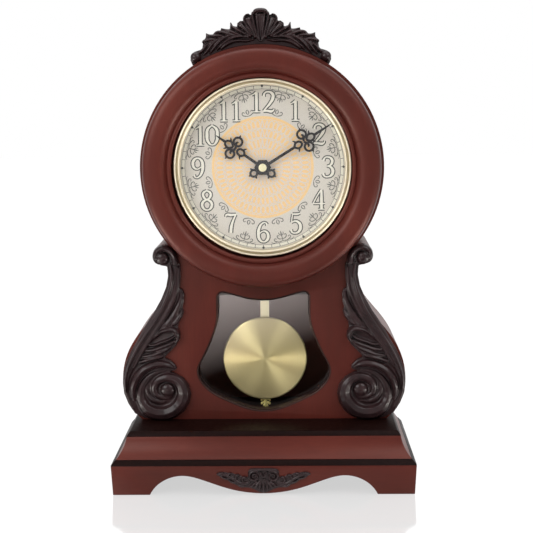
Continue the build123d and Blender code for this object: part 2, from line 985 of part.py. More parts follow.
bay_places = [(dial_centre[0] + side * bay_place, dial_centre[1]) for side in (-1, 1)]
stator_post = (rotor_axis[0] + stator_post_shift[0], rotor_axis[1] + stator_post_shift[1])
coil_centre = (dial_centre[0] + coil_place[0], dial_centre[1] + coil_place[1])
coil_y = stator_y + stator_thick / 2
drive_place = (dial_centre[0], pivot_z - drive_drop)
pivot_place = (dial_centre[0], pivot_z)
boss_back = yoke_front - pivot_play

with BuildPart() as movement_housing:
    block(dial_centre, (2 * housing_half, housing_height), room_back, panel_back)
    block(dial_centre, (room_width, housing_height - 2 * housing_wall), room_back, room_front, Mode.SUBTRACT)
    for place in bay_places:
        block(place, (2 * bay_half, bay_height), room_back, room_front, Mode.SUBTRACT)
    disc(dial_centre, post_radius, room_front, post_front)
    disc(dial_centre, pipe_radius + fit, room_front, post_front, Mode.SUBTRACT)
    disc(minute_axis, stud_pin_radius, motion_layer + wheel_thick, room_front)
    for axis in (third_axis, rotor_axis, setting_axis):
        disc(axis, pivot_radius + pivot_fit, room_front, room_front - pivot_depth, Mode.SUBTRACT)
    disc(stator_post, stator_post_radius, stator_y, room_front)
    tongue_z = dial_centre[1] - housing_height / 2 - tongue_length / 2
    block((dial_centre[0], tongue_z), (2 * tongue_half, tongue_length), room_front, panel_back)
    disc(pivot_place, boss_radius, boss_back, room_front)
    disc(pivot_place, pin_radius, boss_back, panel_back, Mode.SUBTRACT)
finish(movement_housing, "movement_housing")

switch_centre = (dial_centre[0] + switch_place[0], dial_centre[1] + switch_place[1])
slot_width = switch_stem[0] + 2 * switch_travel + 2 * switch_gap
slot_height = switch_stem[1] + 2 * switch_gap

with BuildPart() as movement_cover:
    block(dial_centre, (room_width + 2 * housing_wall, housing_height), cover_back, room_back)
    for axis in (dial_centre, third_axis, rotor_axis):
        disc(axis, pivot_radius + pivot_fit, room_back + pivot_depth, room_back, Mode.SUBTRACT)
    disc(setting_axis, shaft_radius + fit, cover_back, room_back, Mode.SUBTRACT)
    block(switch_centre, (slot_width, slot_height), cover_back, room_back, Mode.SUBTRACT)
finish(movement_cover, "movement_cover")

with BuildPart() as chime_switch:
    cap_front = cover_back + switch_gap
    flange_back = room_back - switch_gap
    block(switch_centre, switch_stem, cap_front, flange_back)
    block(switch_centre, switch_cap, cap_front + switch_height, cap_front)
    block(switch_centre, switch_cap, flange_back, flange_back - switch_flange)
finish(chime_switch, "chime_switch")

with BuildPart() as circuit_board:
    board_z = dial_centre[1] + housing_height / 2 - housing_wall - board_height / 2
    block((dial_centre[0], board_z), (board_width, board_height), room_front + board_thick, room_front)
finish(circuit_board, "circuit_board")

with BuildPart() as motor_stator:
    disc(rotor_axis, stator_ring_radius, stator_y + stator_thick, stator_y)
    leg_left = rotor_axis[0] - stator_ring_radius
    leg_right = coil_centre[0] - coil_length / 2
    leg_mid = ((leg_left + leg_right) / 2, (rotor_axis[1] + coil_centre[1]) / 2)
    leg_size = (leg_right - leg_left, rotor_axis[1] - coil_centre[1] + 2 * core_radius)
    block(leg_mid, leg_size, stator_y + stator_thick, stator_y)
    core_size = (coil_length + 2 * stator_thick, 2 * core_radius)
    block(coil_centre, core_size, stator_y + stator_thick, stator_y)
    gap_radius = rotor_magnet_radius + rotor_gap
    disc(rotor_axis, gap_radius, stator_y + stator_thick, stator_y, Mode.SUBTRACT)
finish(motor_stator, "motor_stator")

with BuildPart() as motor_coil:
    coil_end = coil_centre[0] - coil_length / 2
    with BuildSketch(Plane(origin=(coil_end, 0, 0), x_dir=(0, 1, 0), z_dir=(1, 0, 0))):
        with Locations((coil_y, coil_centre[1])):
            Circle(coil_radius)
            Rectangle(stator_thick + 2 * fit, 2 * core_radius + 2 * fit, mode=Mode.SUBTRACT)
    extrude(amount=coil_length)
finish(motor_coil, "motor_coil")

battery_y = room_front + bay_half
with BuildPart() as batteries:
    for place in bay_places:
        with BuildSketch(Plane.XY.offset(place[1] - battery_length / 2)):
            with Locations((place[0], battery_y)):
                Circle(battery_radius)
        extrude(amount=battery_length)
finish(batteries, "batteries")

with BuildPart() as battery_contacts:
    for place in bay_places:
        for end in (-1, 1):
            contact_z = place[1] + end * (bay_height - contact_thick) / 2
            block((place[0], contact_z), (2 * battery_radius, contact_thick), room_back, room_front)
finish(battery_contacts, "battery_contacts")


# Pendulum

with BuildPart() as drive_coil:
    coil_back = yoke_front - drive_magnet_thick - drive_gap
    disc(drive_place, drive_coil_radius, coil_back, room_front)
finish(drive_coil, "drive_coil")

with BuildPart() as pivot_pin:
    head_front = yoke_back + pivot_play
    disc(pivot_place, pin_radius, head_front, panel_back)
    disc(pivot_place, pin_head_radius, head_front + pin_head_height, head_front)
finish(pivot_pin, "pivot_pin")

with BuildPart() as pendulum_yoke:
    yoke_mid = (dial_centre[0], pivot_z + yoke_rise - yoke_length / 2)
    block(yoke_mid, (2 * yoke_half, yoke_length), yoke_back, yoke_front)
    fillet(pendulum_yoke.edges().filter_by(Axis.Y), yoke_round)
    disc(pivot_place, pin_radius + pivot_fit, yoke_back, yoke_front, Mode.SUBTRACT)
finish(pendulum_yoke, "pendulum_yoke")

with BuildPart() as drive_magnet:
    disc(drive_place, drive_magnet_radius, yoke_front, yoke_front - drive_magnet_thick)
finish(drive_magnet, "drive_magnet")

rod_top = pivot_z - rod_top_drop
rod_back = yoke_back + rod_thick

with BuildPart() as pendulum_rod:
    rod_mid = (dial_centre[0], (rod_top + finial_top) / 2)
    block(rod_mid, (2 * rod_half, rod_top - finial_top), rod_back, yoke_back)
finish(pendulum_rod, "pendulum_rod")

with BuildPart() as pendulum_bob:
    bob_front = yoke_back - bob_thick
    edge_front = bob_front + bob_dome
    with BuildSketch(turning((dial_centre[0], bob_z))):
        with BuildLine():
            Spline((0, bob_front), (bob_radius, edge_front), tangents=((1, 0), bob_edge_lead))
            Polyline((bob_radius, edge_front), (bob_radius, yoke_back), (0, yoke_back), (0, bob_front))
        make_face()
    revolve(axis=turning_axis((dial_centre[0], bob_z)))
finish(pendulum_bob, "pendulum_bob")

with BuildPart() as pendulum_finial:
    finial_low = bob_z - bob_radius - finial_drop
    with BuildSketch(facing(yoke_back + finial_thick)):
        with BuildLine():
            Polyline(
                (dial_centre[0] - finial_half, finial_top),
                (dial_centre[0] + finial_half, finial_top),
                (dial_centre[0] + finial_half, finial_top - finial_shoulder),
                (dial_centre[0], finial_low),
                (dial_centre[0] - finial_half, finial_top - finial_shoulder),
                close=True,
            )
        make_face()
    extrude(amount=finial_thick)
finish(pendulum_finial, "pendulum_finial")


# Back panel, door and hinges

leaf_seat = case_back + leaf_thick
hinge_length = 3 * knuckle_length + 2 * knuckle_gap
hinge_levels = (door_z - hinge_spread / 2, door_z + hinge_spread / 2)
knuckle_step = knuckle_length + knuckle_gap
leaf_screw_x = leaf_width - small_head_radius - knuckle_gap
leaf_screw_levels = [z + end * knuckle_step for z in hinge_levels for end in (-1, 1)]
case_hinge_screws = [(hinge_x + leaf_screw_x, z) for z in leaf_screw_levels]
door_hinge_screws = [(hinge_x - leaf_screw_x, z) for z in leaf_screw_levels]
knob_place = (-door_width / 2 + door_knob_inset, door_z)
speaker_place = (0, speaker_z)

with BuildPart() as back_panel:
    with BuildSketch(facing(case_back)):
        add(case_outline())
        with Locations((0, door_z)):
            Rectangle(door_width + 2 * door_gap, door_height + 2 * door_gap, mode=Mode.SUBTRACT)
        for ring, count in enumerate(sound_hole_counts):
            with Locations(speaker_place):
                with PolarLocations(ring * sound_ring_step, count):
                    Circle(sound_hole_radius, mode=Mode.SUBTRACT)
    extrude(amount=back_thick)
    screw_pilots(hoop_screws + side_screws + left_screws)
    small_pilots(case_hinge_screws, leaf_seat)
finish(back_panel, "back_panel")

with BuildPart() as access_door:
    block((0, door_z), (door_width, door_height), case_back, wall_back)
    disc(knob_place, stud_radius + fit, case_back, wall_back, Mode.SUBTRACT)
    small_pilots(door_hinge_screws, leaf_seat)
finish(access_door, "access_door")


def knuckle(z):
    """Hinge knuckle about the door's axis, centred at height z."""
    with BuildSketch(Plane.XY.offset(z - knuckle_length / 2)) as ring:
        with Locations((hinge_x, hinge_y)):
            Circle(knuckle_radius)
    extrude(ring.sketch, amount=knuckle_length)


def hinge_leaf(side, z, knuckle_places):
    """Hinge leaf on one side of the axis, joined to its own knuckles."""
    inner = knuckle_radius + knuckle_gap
    middle = hinge_x + side * (inner + leaf_width) / 2
    block((middle, z), (leaf_width - inner, hinge_length), leaf_seat, case_back)
    for place in knuckle_places:
        knuckle(z + place)
        block((hinge_x + side * inner / 2, z + place), (inner, knuckle_length), leaf_seat, case_back)


def hinge_bore(z):
    """Bore for the pin through all knuckles of one hinge."""
    with BuildSketch(Plane.XY.offset(z - hinge_length / 2)) as bore:
        with Locations((hinge_x, hinge_y)):
            Circle(hinge_pin_radius + pivot_fit)
    extrude(bore.sketch, amount=hinge_length, mode=Mode.SUBTRACT)


with BuildPart() as hinge_leaves_case:
    for z in hinge_levels:
        hinge_leaf(1, z, (-knuckle_step, knuckle_step))
        hinge_bore(z)
    small_pilots(case_hinge_screws, leaf_seat)
finish(hinge_leaves_case, "hinge_leaves_case")

with BuildPart() as hinge_leaves_door:
    for z in hinge_levels:
        hinge_leaf(-1, z, (0,))
        hinge_bore(z)
    small_pilots(door_hinge_screws, leaf_seat)
finish(hinge_leaves_door, "hinge_leaves_door")

with BuildPart() as hinge_pins:
    for z in hinge_levels:
        with BuildSketch(Plane.XY.offset(z - hinge_length / 2)):
            with Locations((hinge_x, hinge_y)):
                Circle(hinge_pin_radius)
        extrude(amount=hinge_length)
finish(hinge_pins, "hinge_pins")

with BuildPart() as door_screws:
    small_screws(door_hinge_screws, leaf_seat)
finish(door_screws, "door_screws")

with BuildPart() as door_knob:
    disc(knob_place, door_knob_radius, case_back + door_knob_height, case_back)
    fillet(door_knob.faces().sort_by(Axis.Y)[-1].edges(), door_knob_round)
    disc(knob_place, stud_radius, case_back, wall_back)
    disc(knob_place, stud_washer_radius, wall_back, wall_back - stud_washer_thick)
finish(door_knob, "door_knob")

with BuildPart() as catch_magnet:
    opening_edge = -door_width / 2 - door_gap
    catch_back = wall_back - stud_washer_thick - catch_gap
    catch_mid = opening_edge + catch_overlap - catch_size[0] / 2
    block((catch_mid, door_z), catch_size[:2], catch_back, catch_back - catch_size[2])
    catch_foot = catch_size[0] - catch_overlap - door_gap
    foot_place = (opening_edge - door_gap - catch_foot / 2, door_z)
    block(foot_place, (catch_foot, catch_size[1]), wall_back, catch_back)
finish(catch_magnet, "catch_magnet")

with BuildPart() as case_screws:
    for place in hoop_screws + side_screws + left_screws:
        disc(place, screw_head_radius, case_back + screw_head_height, case_back)
        disc(place, screw_shank_radius, case_back, case_back - case_screw_length)
finish(case_screws, "case_screws")


# Speaker

basket_mouth = speaker_radius - 2 * speaker_flange
basket_back = wall_back - speaker_depth

with BuildPart() as speaker_frame:
    with BuildSketch(turning(speaker_place)):
        with BuildLine():
            Polyline(
                (basket_mouth - speaker_wall, wall_back),
                (speaker_radius, wall_back),
                (speaker_radius, wall_back - speaker_flange),
                (basket_mouth, wall_back - speaker_flange),
                (magnet_radius, basket_back),
                (magnet_radius, basket_back - magnet_height),
                (0, basket_back - magnet_height),
                (0, basket_back + speaker_wall),
                (magnet_radius - speaker_wall, basket_back + speaker_wall),
                close=True,
            )
        make_face()
    revolve(axis=turning_axis(speaker_place))
finish(speaker_frame, "speaker_frame")

with BuildPart() as speaker_cone:
    cone_slope = (basket_mouth - magnet_radius) / (speaker_depth - speaker_wall)
    cone_drop = speaker_depth / 2
    rim_radius = basket_mouth - speaker_wall - cone_slope * 2 * cone_thick
    apex_radius = magnet_radius - speaker_wall
    with BuildSketch(turning(speaker_place)):
        with BuildLine():
            Polyline(
                (rim_radius, wall_back - cone_thick),
                (apex_radius, wall_back - cone_thick - cone_drop),
                (0, wall_back - cone_thick - cone_drop),
                (0, wall_back - 2 * cone_thick - cone_drop),
                (apex_radius, wall_back - 2 * cone_thick - cone_drop),
                (rim_radius, wall_back - 2 * cone_thick),
                close=True,
            )
        make_face()
    revolve(axis=turning_axis(speaker_place))
finish(speaker_cone, "speaker_cone")


# Window glass

with BuildPart() as window_glass:
    block((0, (glass_low + glass_high) / 2), (2 * glass_half, glass_high - glass_low), glass_seat, panel_back)
finish(window_glass, "window_glass")

with BuildPart() as glass_clips:
    for x, z in clip_places:
        side = x / abs(x)
        block((x, z), (clip_size, clip_size), clip_seat, panel_back)
        riser_x = x - side * (clip_size - clip_thick) / 2
        block((riser_x, z), (clip_thick, clip_size), glass_seat + clip_thick, panel_back)
        tab_x = x - side * (clip_size + clip_tab) / 2
        block((tab_x, z), (clip_tab, clip_size), glass_seat + clip_thick, glass_seat)
    small_pilots(clip_places, clip_seat)
finish(glass_clips, "glass_clips")

with BuildPart() as small_case_screws:
    small_screws(case_hinge_screws, leaf_seat)
    small_screws(clip_places, clip_seat)
finish(small_case_screws, "small_case_screws")


# Carvings


def scroll_outline():
    """Side scroll from the front: curl, band along the body's edge, leaves and volute."""
    with BuildSketch() as outline:
        half = body_half()
        add(half)
        add(Pos(-band_width, 0) * half, mode=Mode.SUBTRACT)
        with Locations((belly_half, volute_z - volute_radius)):
            Rectangle(2 * side_thick + belly_half, volute_radius, mode=Mode.SUBTRACT)
        with Locations((curl_half, curl_z)):
            Circle(curl_radius)
        with Locations((volute_x, volute_z)):
            Circle(volute_radius)
        with BuildLine():
            leaf = [(volute_x + x, volute_z + z) for x, z in leaf_points]
            Polyline(*leaf, close=True)
        make_face()
        with Locations((0, head_z)):
            Circle(ring_radius + ring_gap, mode=Mode.SUBTRACT)
    return outline.sketch


def scroll_ridges():
    """Raised parts of the scroll: band, curl, volute ring and its eye."""
    with BuildSketch() as ridges:
        half = body_half()
        add(half)
        add(Pos(-ridge_width, 0) * half, mode=Mode.SUBTRACT)
        with Locations((belly_half, volute_z - volute_radius)):
            Rectangle(2 * side_thick + belly_half, volute_radius, mode=Mode.SUBTRACT)
        with Locations((curl_half, curl_z)):
            Circle(curl_radius)
        with Locations((volute_x, volute_z)):
            Circle(volute_radius - volute_edge)
            Circle(volute_radius - volute_edge - ridge_width, mode=Mode.SUBTRACT)
            Circle(eye_radius)
        with Locations((0, head_z)):
            Circle(ring_radius + ring_gap, mode=Mode.SUBTRACT)
    return ridges.sketch


with BuildPart() as scroll_right:
    with BuildSketch(facing(panel_front)):
        add(scroll_outline())
    extrude(amount=scroll_ground)
    with BuildSketch(facing(panel_front - scroll_ground)):
        add(scroll_ridges())
    extrude(amount=scroll_relief - scroll_ground)
finish(scroll_right, "scroll_right")

with BuildPart() as scroll_left:
    mirror(scroll_right.part, about=Plane.YZ)
finish(scroll_left, "scroll_left")

crown_z = head_z + head_radius


def crest_outline():
    """Crest from the front: shell lobes in the middle, leaf tips to the sides, cut to the head's round."""
    with BuildSketch() as outline:
        with BuildLine():
            tips = [(x, crown_z + z) for x, z in crest_tips]
            Polyline(*tips)
            start = tips[-1]
            for middle, end in crest_lobes:
                ThreePointArc(start, (middle[0], crown_z + middle[1]), (end[0], crown_z + end[1]))
                start = (end[0], crown_z + end[1])
            Polyline(start, (0, head_z), tips[0])
        make_face()
        mirror(about=Plane.YZ)
        with Locations((0, head_z)):
            Circle(head_radius, mode=Mode.SUBTRACT)
    return outline.sketch


with BuildPart() as crest_carving:
    crest_back = panel_front - crest_overhang + crest_thick
    with BuildSketch(facing(crest_back)):
        add(crest_outline())
    extrude(amount=crest_ground)
    with BuildSketch(facing(crest_back - crest_ground)):
        with Locations((0, crown_z + shell_rise)):
            Ellipse(shell_half, shell_height / 2)
        with Locations((0, head_z)):
            Circle(head_radius, mode=Mode.SUBTRACT)
    extrude(amount=crest_thick - crest_ground)
finish(crest_carving, "crest_carving")

with BuildPart() as apron_carving:
    carving_front = front_y - carving_proud
    carving_back = front_y + plinth_setback + plinth_taper
    with BuildSketch(facing(carving_back)):
        with BuildLine():
            Polyline(*[(x, apron_carving_lift + z) for x, z in apron_points])
            Line((apron_points[-1][0], apron_carving_lift + apron_points[-1][1]), (0, apron_carving_lift))
            Line((0, apron_carving_lift), (apron_points[0][0], apron_carving_lift + apron_points[0][1]))
        make_face()
        mirror(about=Plane.YZ)
    extrude(amount=carving_back - carving_front - apron_relief + apron_ground)
    with BuildSketch(facing(carving_front + apron_relief - apron_ground)):
        with Locations((0, apron_carving_lift + apron_shell_rise)):
            Ellipse(apron_shell_half, apron_shell_rise - apron_carving_lift)
    extrude(amount=apron_relief - apron_ground)
    plinth_block(mode=Mode.SUBTRACT)
finish(apron_carving, "apron_carving")
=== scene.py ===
import json
from math import atan2, cos, pi, radians, sin, tau

import bmesh
import bpy
from bpy.props import FloatProperty, FloatVectorProperty, PointerProperty
from bpy.types import Operator, Panel, PropertyGroup
from mathutils import Matrix, Vector


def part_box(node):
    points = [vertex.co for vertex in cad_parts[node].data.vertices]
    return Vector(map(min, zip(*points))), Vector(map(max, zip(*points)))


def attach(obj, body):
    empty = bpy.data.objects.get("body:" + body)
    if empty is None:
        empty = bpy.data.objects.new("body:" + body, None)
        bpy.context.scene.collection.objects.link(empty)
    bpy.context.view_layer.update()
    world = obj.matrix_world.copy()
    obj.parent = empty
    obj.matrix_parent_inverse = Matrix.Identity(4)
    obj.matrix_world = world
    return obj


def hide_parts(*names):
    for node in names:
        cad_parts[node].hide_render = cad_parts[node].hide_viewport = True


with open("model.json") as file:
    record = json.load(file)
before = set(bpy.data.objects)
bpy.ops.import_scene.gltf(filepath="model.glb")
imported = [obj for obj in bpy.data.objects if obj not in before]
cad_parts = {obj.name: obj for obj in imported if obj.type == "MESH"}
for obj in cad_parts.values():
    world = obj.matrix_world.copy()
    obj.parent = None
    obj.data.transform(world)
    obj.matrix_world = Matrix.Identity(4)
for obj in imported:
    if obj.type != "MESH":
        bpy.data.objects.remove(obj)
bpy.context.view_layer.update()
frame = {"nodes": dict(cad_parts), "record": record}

bl_info = {
    "name": "Mantel Pendulum Clock",
    "version": (1, 0, 0),
    "blender": (4, 5, 0),
    "location": "3D View > Sidebar > Clock",
    "description": "Carves, turns, prints and finishes a mantel clock with a pendulum",
    "category": "Object",
}

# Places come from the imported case, so the new pieces sit where its boards and bodies are.
MM = 0.001
NODES = frame["nodes"]
BODY_OF = {
    node: body
    for body, members in frame["record"]["behaviour"]["bodies"].items()
    for node in members
}
PANEL_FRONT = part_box("front_panel")[0].y / MM
PANEL_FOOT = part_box("front_panel")[0].z / MM
APRON_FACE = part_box("base_apron_front")[0].y / MM
CREST_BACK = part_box("crest_carving")[1].y / MM
DIAL_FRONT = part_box("dial_plate")[0].y / MM
DIAL_CENTRE = sum(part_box("dial_plate"), Vector()) / 2 / MM
BOB_CENTRE = sum(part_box("pendulum_bob"), Vector()) / 2 / MM

# Carving and print lines run through (across, up, half-width) points in mm.
# The carved lines are one half of a mirrored pair, measured from the clock's middle.
SCROLL_SHAFT = (
    (73.9, 184.4, 3.5), (72.6, 179.2, 3.5), (73.1, 171.4, 4.3), (74.6, 162.6, 4.7), (77.9, 153.2, 5.5),
    (83.2, 143.0, 6.2), (89.5, 133.3, 6.4), (96.1, 123.3, 6.2), (103.9, 110.7, 5.1), (109.2, 101.1, 4.1),
    (113.1, 92.8, 3.3), (115.7, 83.8, 2.5), (115.5, 74.8, 2.0), (113.0, 66.8, 1.9), (110.0, 59.2, 1.4),
)
SCROLL_BEAD = (
    (76.4, 182.7, 0.9), (75.2, 173.5, 1.3), (76.8, 163.1, 1.5), (80.8, 151.6, 1.6), (86.2, 141.1, 1.6),
    (92.6, 131.2, 1.5), (99.1, 121.7, 1.4), (105.6, 111.2, 1.3), (111.1, 100.6, 1.1), (114.6, 91.8, 0.9),
    (116.3, 82.8, 0.8), (115.9, 74.3, 0.7),
)
SCROLL_LIP = (
    (69.9, 179.7, 1.0), (70.3, 170.4, 1.2), (71.2, 162.5, 1.4), (74.1, 153.7, 1.6), (78.9, 143.7, 1.9),
    (85.1, 133.8, 1.9), (91.5, 124.3, 1.9), (98.6, 113.8, 1.6), (104.5, 103.8, 1.4), (109.1, 95.3, 1.0),
)
SCROLL_CURL = (
    (72.1, 182.3, 2.9), (73.0, 188.6, 2.8), (76.8, 193.8, 2.8), (82.0, 195.8, 2.8), (86.6, 194.2, 2.7),
    (89.1, 189.7, 2.3), (88.8, 185.3, 1.6), (85.7, 182.5, 0.9),
)
SCROLL_LEAVES = (
    ((67.8, 158.6, 1.2), (68.5, 152.6, 1.9), (71.3, 145.3, 2.7), (75.2, 137.9, 3.5), (80.4, 131.4, 3.5),
     (85.7, 125.9, 2.5), (90.6, 120.3, 0.9)),
    ((67.4, 143.3, 0.8), (69.7, 138.4, 2.0), (74.3, 132.9, 2.3), (79.0, 129.3, 1.2)),
    ((97.0, 114.2, 0.9), (91.4, 114.4, 1.3), (85.5, 116.5, 1.5), (79.2, 118.8, 1.5), (74.1, 121.9, 1.0)),
    ((99.1, 109.4, 1.1), (92.1, 110.2, 1.9), (84.7, 112.7, 2.0), (78.4, 115.2, 1.9), (73.8, 117.9, 1.1)),
    ((101.4, 104.5, 1.1), (94.2, 105.5, 1.9), (86.9, 108.0, 2.0), (80.6, 110.9, 1.7), (76.8, 113.7, 0.9)),
    ((104.4, 99.4, 1.1), (97.7, 101.5, 1.9), (91.2, 103.2, 1.9), (85.3, 104.8, 1.4), (82.5, 106.5, 0.7)),
    ((81.8, 92.5, 0.7), (88.1, 91.2, 1.5), (94.4, 88.3, 2.3), (99.6, 83.3, 2.9), (103.1, 76.7, 3.4),
     (103.9, 69.7, 4.1), (100.7, 62.2, 4.9)),
)
SCROLL_HOOD = (
    (92.3, 119.3, 0.8), (87.0, 124.7, 1.7), (80.4, 127.4, 2.4), (75.0, 127.3, 2.6), (72.0, 124.0, 2.5),
    (71.4, 119.8, 1.9), (73.6, 116.2, 1.2),
)
SCROLL_HOOK = (
    (75.3, 94.8, 1.4), (80.3, 97.3, 2.7), (87.1, 98.1, 3.2), (94.4, 96.6, 3.4), (101.3, 92.7, 3.6),
    (106.5, 86.7, 3.6), (109.5, 79.8, 3.2), (110.1, 72.8, 2.6), (108.8, 66.8, 1.5),
)
SCROLL_VOLUTE = (
    (103.9, 68.2, 3.1), (100.7, 62.2, 4.9), (95.1, 57.6, 5.8), (87.5, 55.7, 6.0), (79.1, 57.1, 6.2),
    (72.2, 62.0, 6.2), (68.2, 69.0, 5.8), (68.1, 76.5, 5.4), (71.3, 82.6, 4.8), (77.1, 85.8, 4.2),
    (83.7, 86.1, 3.8), (89.0, 83.6, 3.5), (91.9, 78.9, 3.1), (91.8, 74.1, 2.7), (89.0, 70.8, 2.4),
    (84.4, 69.1, 2.0), (79.8, 69.2, 1.5), (76.8, 71.0, 0.8),
)
SCROLL_CRESCENT = (
    (97.7, 80.6, 0.8), (98.3, 75.5, 1.6), (96.3, 70.5, 2.0), (91.6, 66.7, 2.3), (86.3, 65.4, 1.6),
    (81.7, 66.4, 0.7),
)
SCROLL_EYES = ((80.9, 75.6, 6.2), (83.2, 187.4, 5.6))
SCROLL_GROUND = (
    (70.2, 188.0), (68.2, 179.7), (68.4, 170.3), (69.4, 162.0), (67.1, 160.9), (65.6, 157.3), (66.1, 149.9),
    (67.4, 145.2), (66.2, 142.1), (67.6, 137.3), (70.6, 133.2), (71.4, 129.0), (69.7, 124.2), (70.4, 118.9),
    (73.2, 113.6), (78.5, 108.4), (83.3, 103.1), (78.2, 101.0), (73.6, 96.2), (73.2, 93.6), (75.7, 92.1),
    (81.0, 91.6), (75.8, 90.4), (68.0, 86.1), (63.0, 79.5), (61.5, 72.0), (62.9, 64.5), (67.0, 57.5), (73.4, 52.4),
    (81.9, 50.0), (91.3, 50.0), (100.7, 51.4), (109.0, 55.6), (114.4, 64.0), (117.8, 72.8), (118.7, 81.9),
    (117.8, 90.8), (115.2, 100.1), (110.8, 109.6), (105.0, 119.1), (98.2, 130.7), (91.6, 141.2), (85.0, 152.7),
    (80.6, 163.1), (78.8, 172.5), (79.4, 180.3), (84.1, 181.3), (88.8, 183.2), (91.0, 188.2), (89.4, 193.4),
    (85.0, 196.7), (78.8, 196.9),
)
CREST_LEAVES = (
    ((10.2, 368.3, 0.7), (15.3, 371.3, 1.4), (19.8, 373.9, 1.5), (22.7, 375.7, 1.0), (24.0, 377.5, 0.6),
     (24.2, 379.2, 0.3)),
    ((12.8, 367.1, 0.7), (19.3, 370.0, 1.4), (24.9, 372.0, 1.6), (29.0, 373.3, 0.9), (32.1, 374.5, 0.3)),
    ((19.6, 368.2, 0.9), (26.4, 370.0, 1.6), (31.7, 371.5, 1.4), (35.8, 371.3, 1.1), (38.0, 369.7, 0.7)),
    ((28.1, 367.7, 0.9), (34.1, 368.6, 1.5), (38.9, 368.6, 1.2), (42.1, 369.2, 0.8), (44.4, 370.6, 0.3)),
    ((34.1, 365.6, 1.0), (39.4, 365.5, 1.7), (43.6, 365.0, 1.5), (46.8, 364.0, 0.9), (47.1, 362.9, 0.6)),
    ((5.1, 365.5, 0.6), (11.1, 364.3, 0.9), (17.9, 364.5, 1.1), (23.9, 363.3, 1.3), (29.0, 360.6, 1.2),
     (32.4, 357.9, 0.7)),
    ((9.4, 367.1, 0.7), (16.2, 367.7, 1.1), (22.3, 366.8, 1.4), (28.1, 363.8, 1.5), (33.2, 359.8, 1.3),
     (36.1, 356.9, 0.7)),
    ((18.8, 369.0, 0.8), (25.6, 368.3, 1.4), (31.2, 365.5, 1.6), (35.8, 361.4, 1.5), (39.7, 356.9, 1.2),
     (41.8, 354.2, 0.7)),
    ((29.0, 367.3, 0.9), (34.9, 365.3, 1.4), (39.4, 361.8, 1.7), (43.0, 357.2, 1.5), (46.7, 353.4, 0.9)),
    ((40.1, 363.5, 0.9), (44.3, 360.6, 1.4), (47.1, 357.2, 1.5), (50.5, 354.7, 1.2)),
)
CREST_LOBES = (
    ((4.3, 367.7, 0.9), (6.1, 372.3, 1.5), (8.4, 377.4, 2.3), (10.0, 381.4, 2.9), (10.3, 382.7, 2.7)),
    ((6.8, 367.7, 0.7), (10.2, 371.1, 1.4), (13.6, 374.7, 2.0), (16.1, 377.2, 2.4), (16.7, 378.0, 2.2)),
)
CREST_RIMS = (
    ((0.3, 363.7, 0.5), (2.2, 366.0, 0.7), (4.0, 372.2, 0.8), (5.6, 379.5, 0.9), (6.7, 384.7, 0.9),
     (6.1, 387.2, 0.9)),
    ((6.1, 368.2, 0.4), (9.0, 372.8, 0.6), (12.1, 377.8, 0.7), (13.5, 381.6, 0.7), (11.9, 384.7, 0.7),
     (9.2, 385.6, 0.6)),
)
CREST_FLUTE = ((0.8, 365.0, 0.5), (1.7, 371.5, 0.9), (2.6, 379.0, 1.2), (3.1, 384.1, 1.2))
CREST_FACE = ((0.0, 364.5, 1.0), (0.0, 369.0, 2.4), (0.0, 375.7, 3.8), (0.0, 381.6, 4.9), (0.0, 385.7, 5.3))
CREST_ROLL = ((-5.6, 385.9, 1.3), (-3.9, 387.9, 1.9), (0.0, 388.5, 2.1), (3.9, 387.9, 1.9), (5.6, 385.9, 1.3))
CREST_DOMES = ((53.0, 351.5, 4.3), (4.4, 367.3, 1.3), (8.7, 368.2, 1.4))
CREST_GROUND = (
    (0.0, 389.6), (3.8, 388.9), (6.3, 386.6), (7.2, 384.7), (9.4, 385.9), (12.1, 385.4), (13.8, 382.4),
    (13.6, 380.2), (16.4, 380.4), (18.9, 378.5), (19.1, 375.7), (22.3, 376.5), (23.9, 379.2), (24.7, 376.7),
    (24.9, 373.9), (29.0, 374.0), (32.1, 374.7), (32.4, 372.8), (36.5, 371.5), (39.2, 368.7), (41.9, 369.5),
    (44.4, 370.6), (44.5, 367.6), (46.9, 364.1), (47.1, 361.4), (47.7, 357.9), (51.1, 356.9), (53.9, 356.0),
    (57.1, 353.0), (57.3, 349.0), (55.6, 345.0), (51.5, 347.4), (47.7, 349.6), (42.6, 352.1), (37.5, 354.3),
    (32.4, 356.2), (25.6, 358.3), (20.5, 359.5), (12.8, 360.8), (5.1, 361.4), (0.0, 361.6),
)
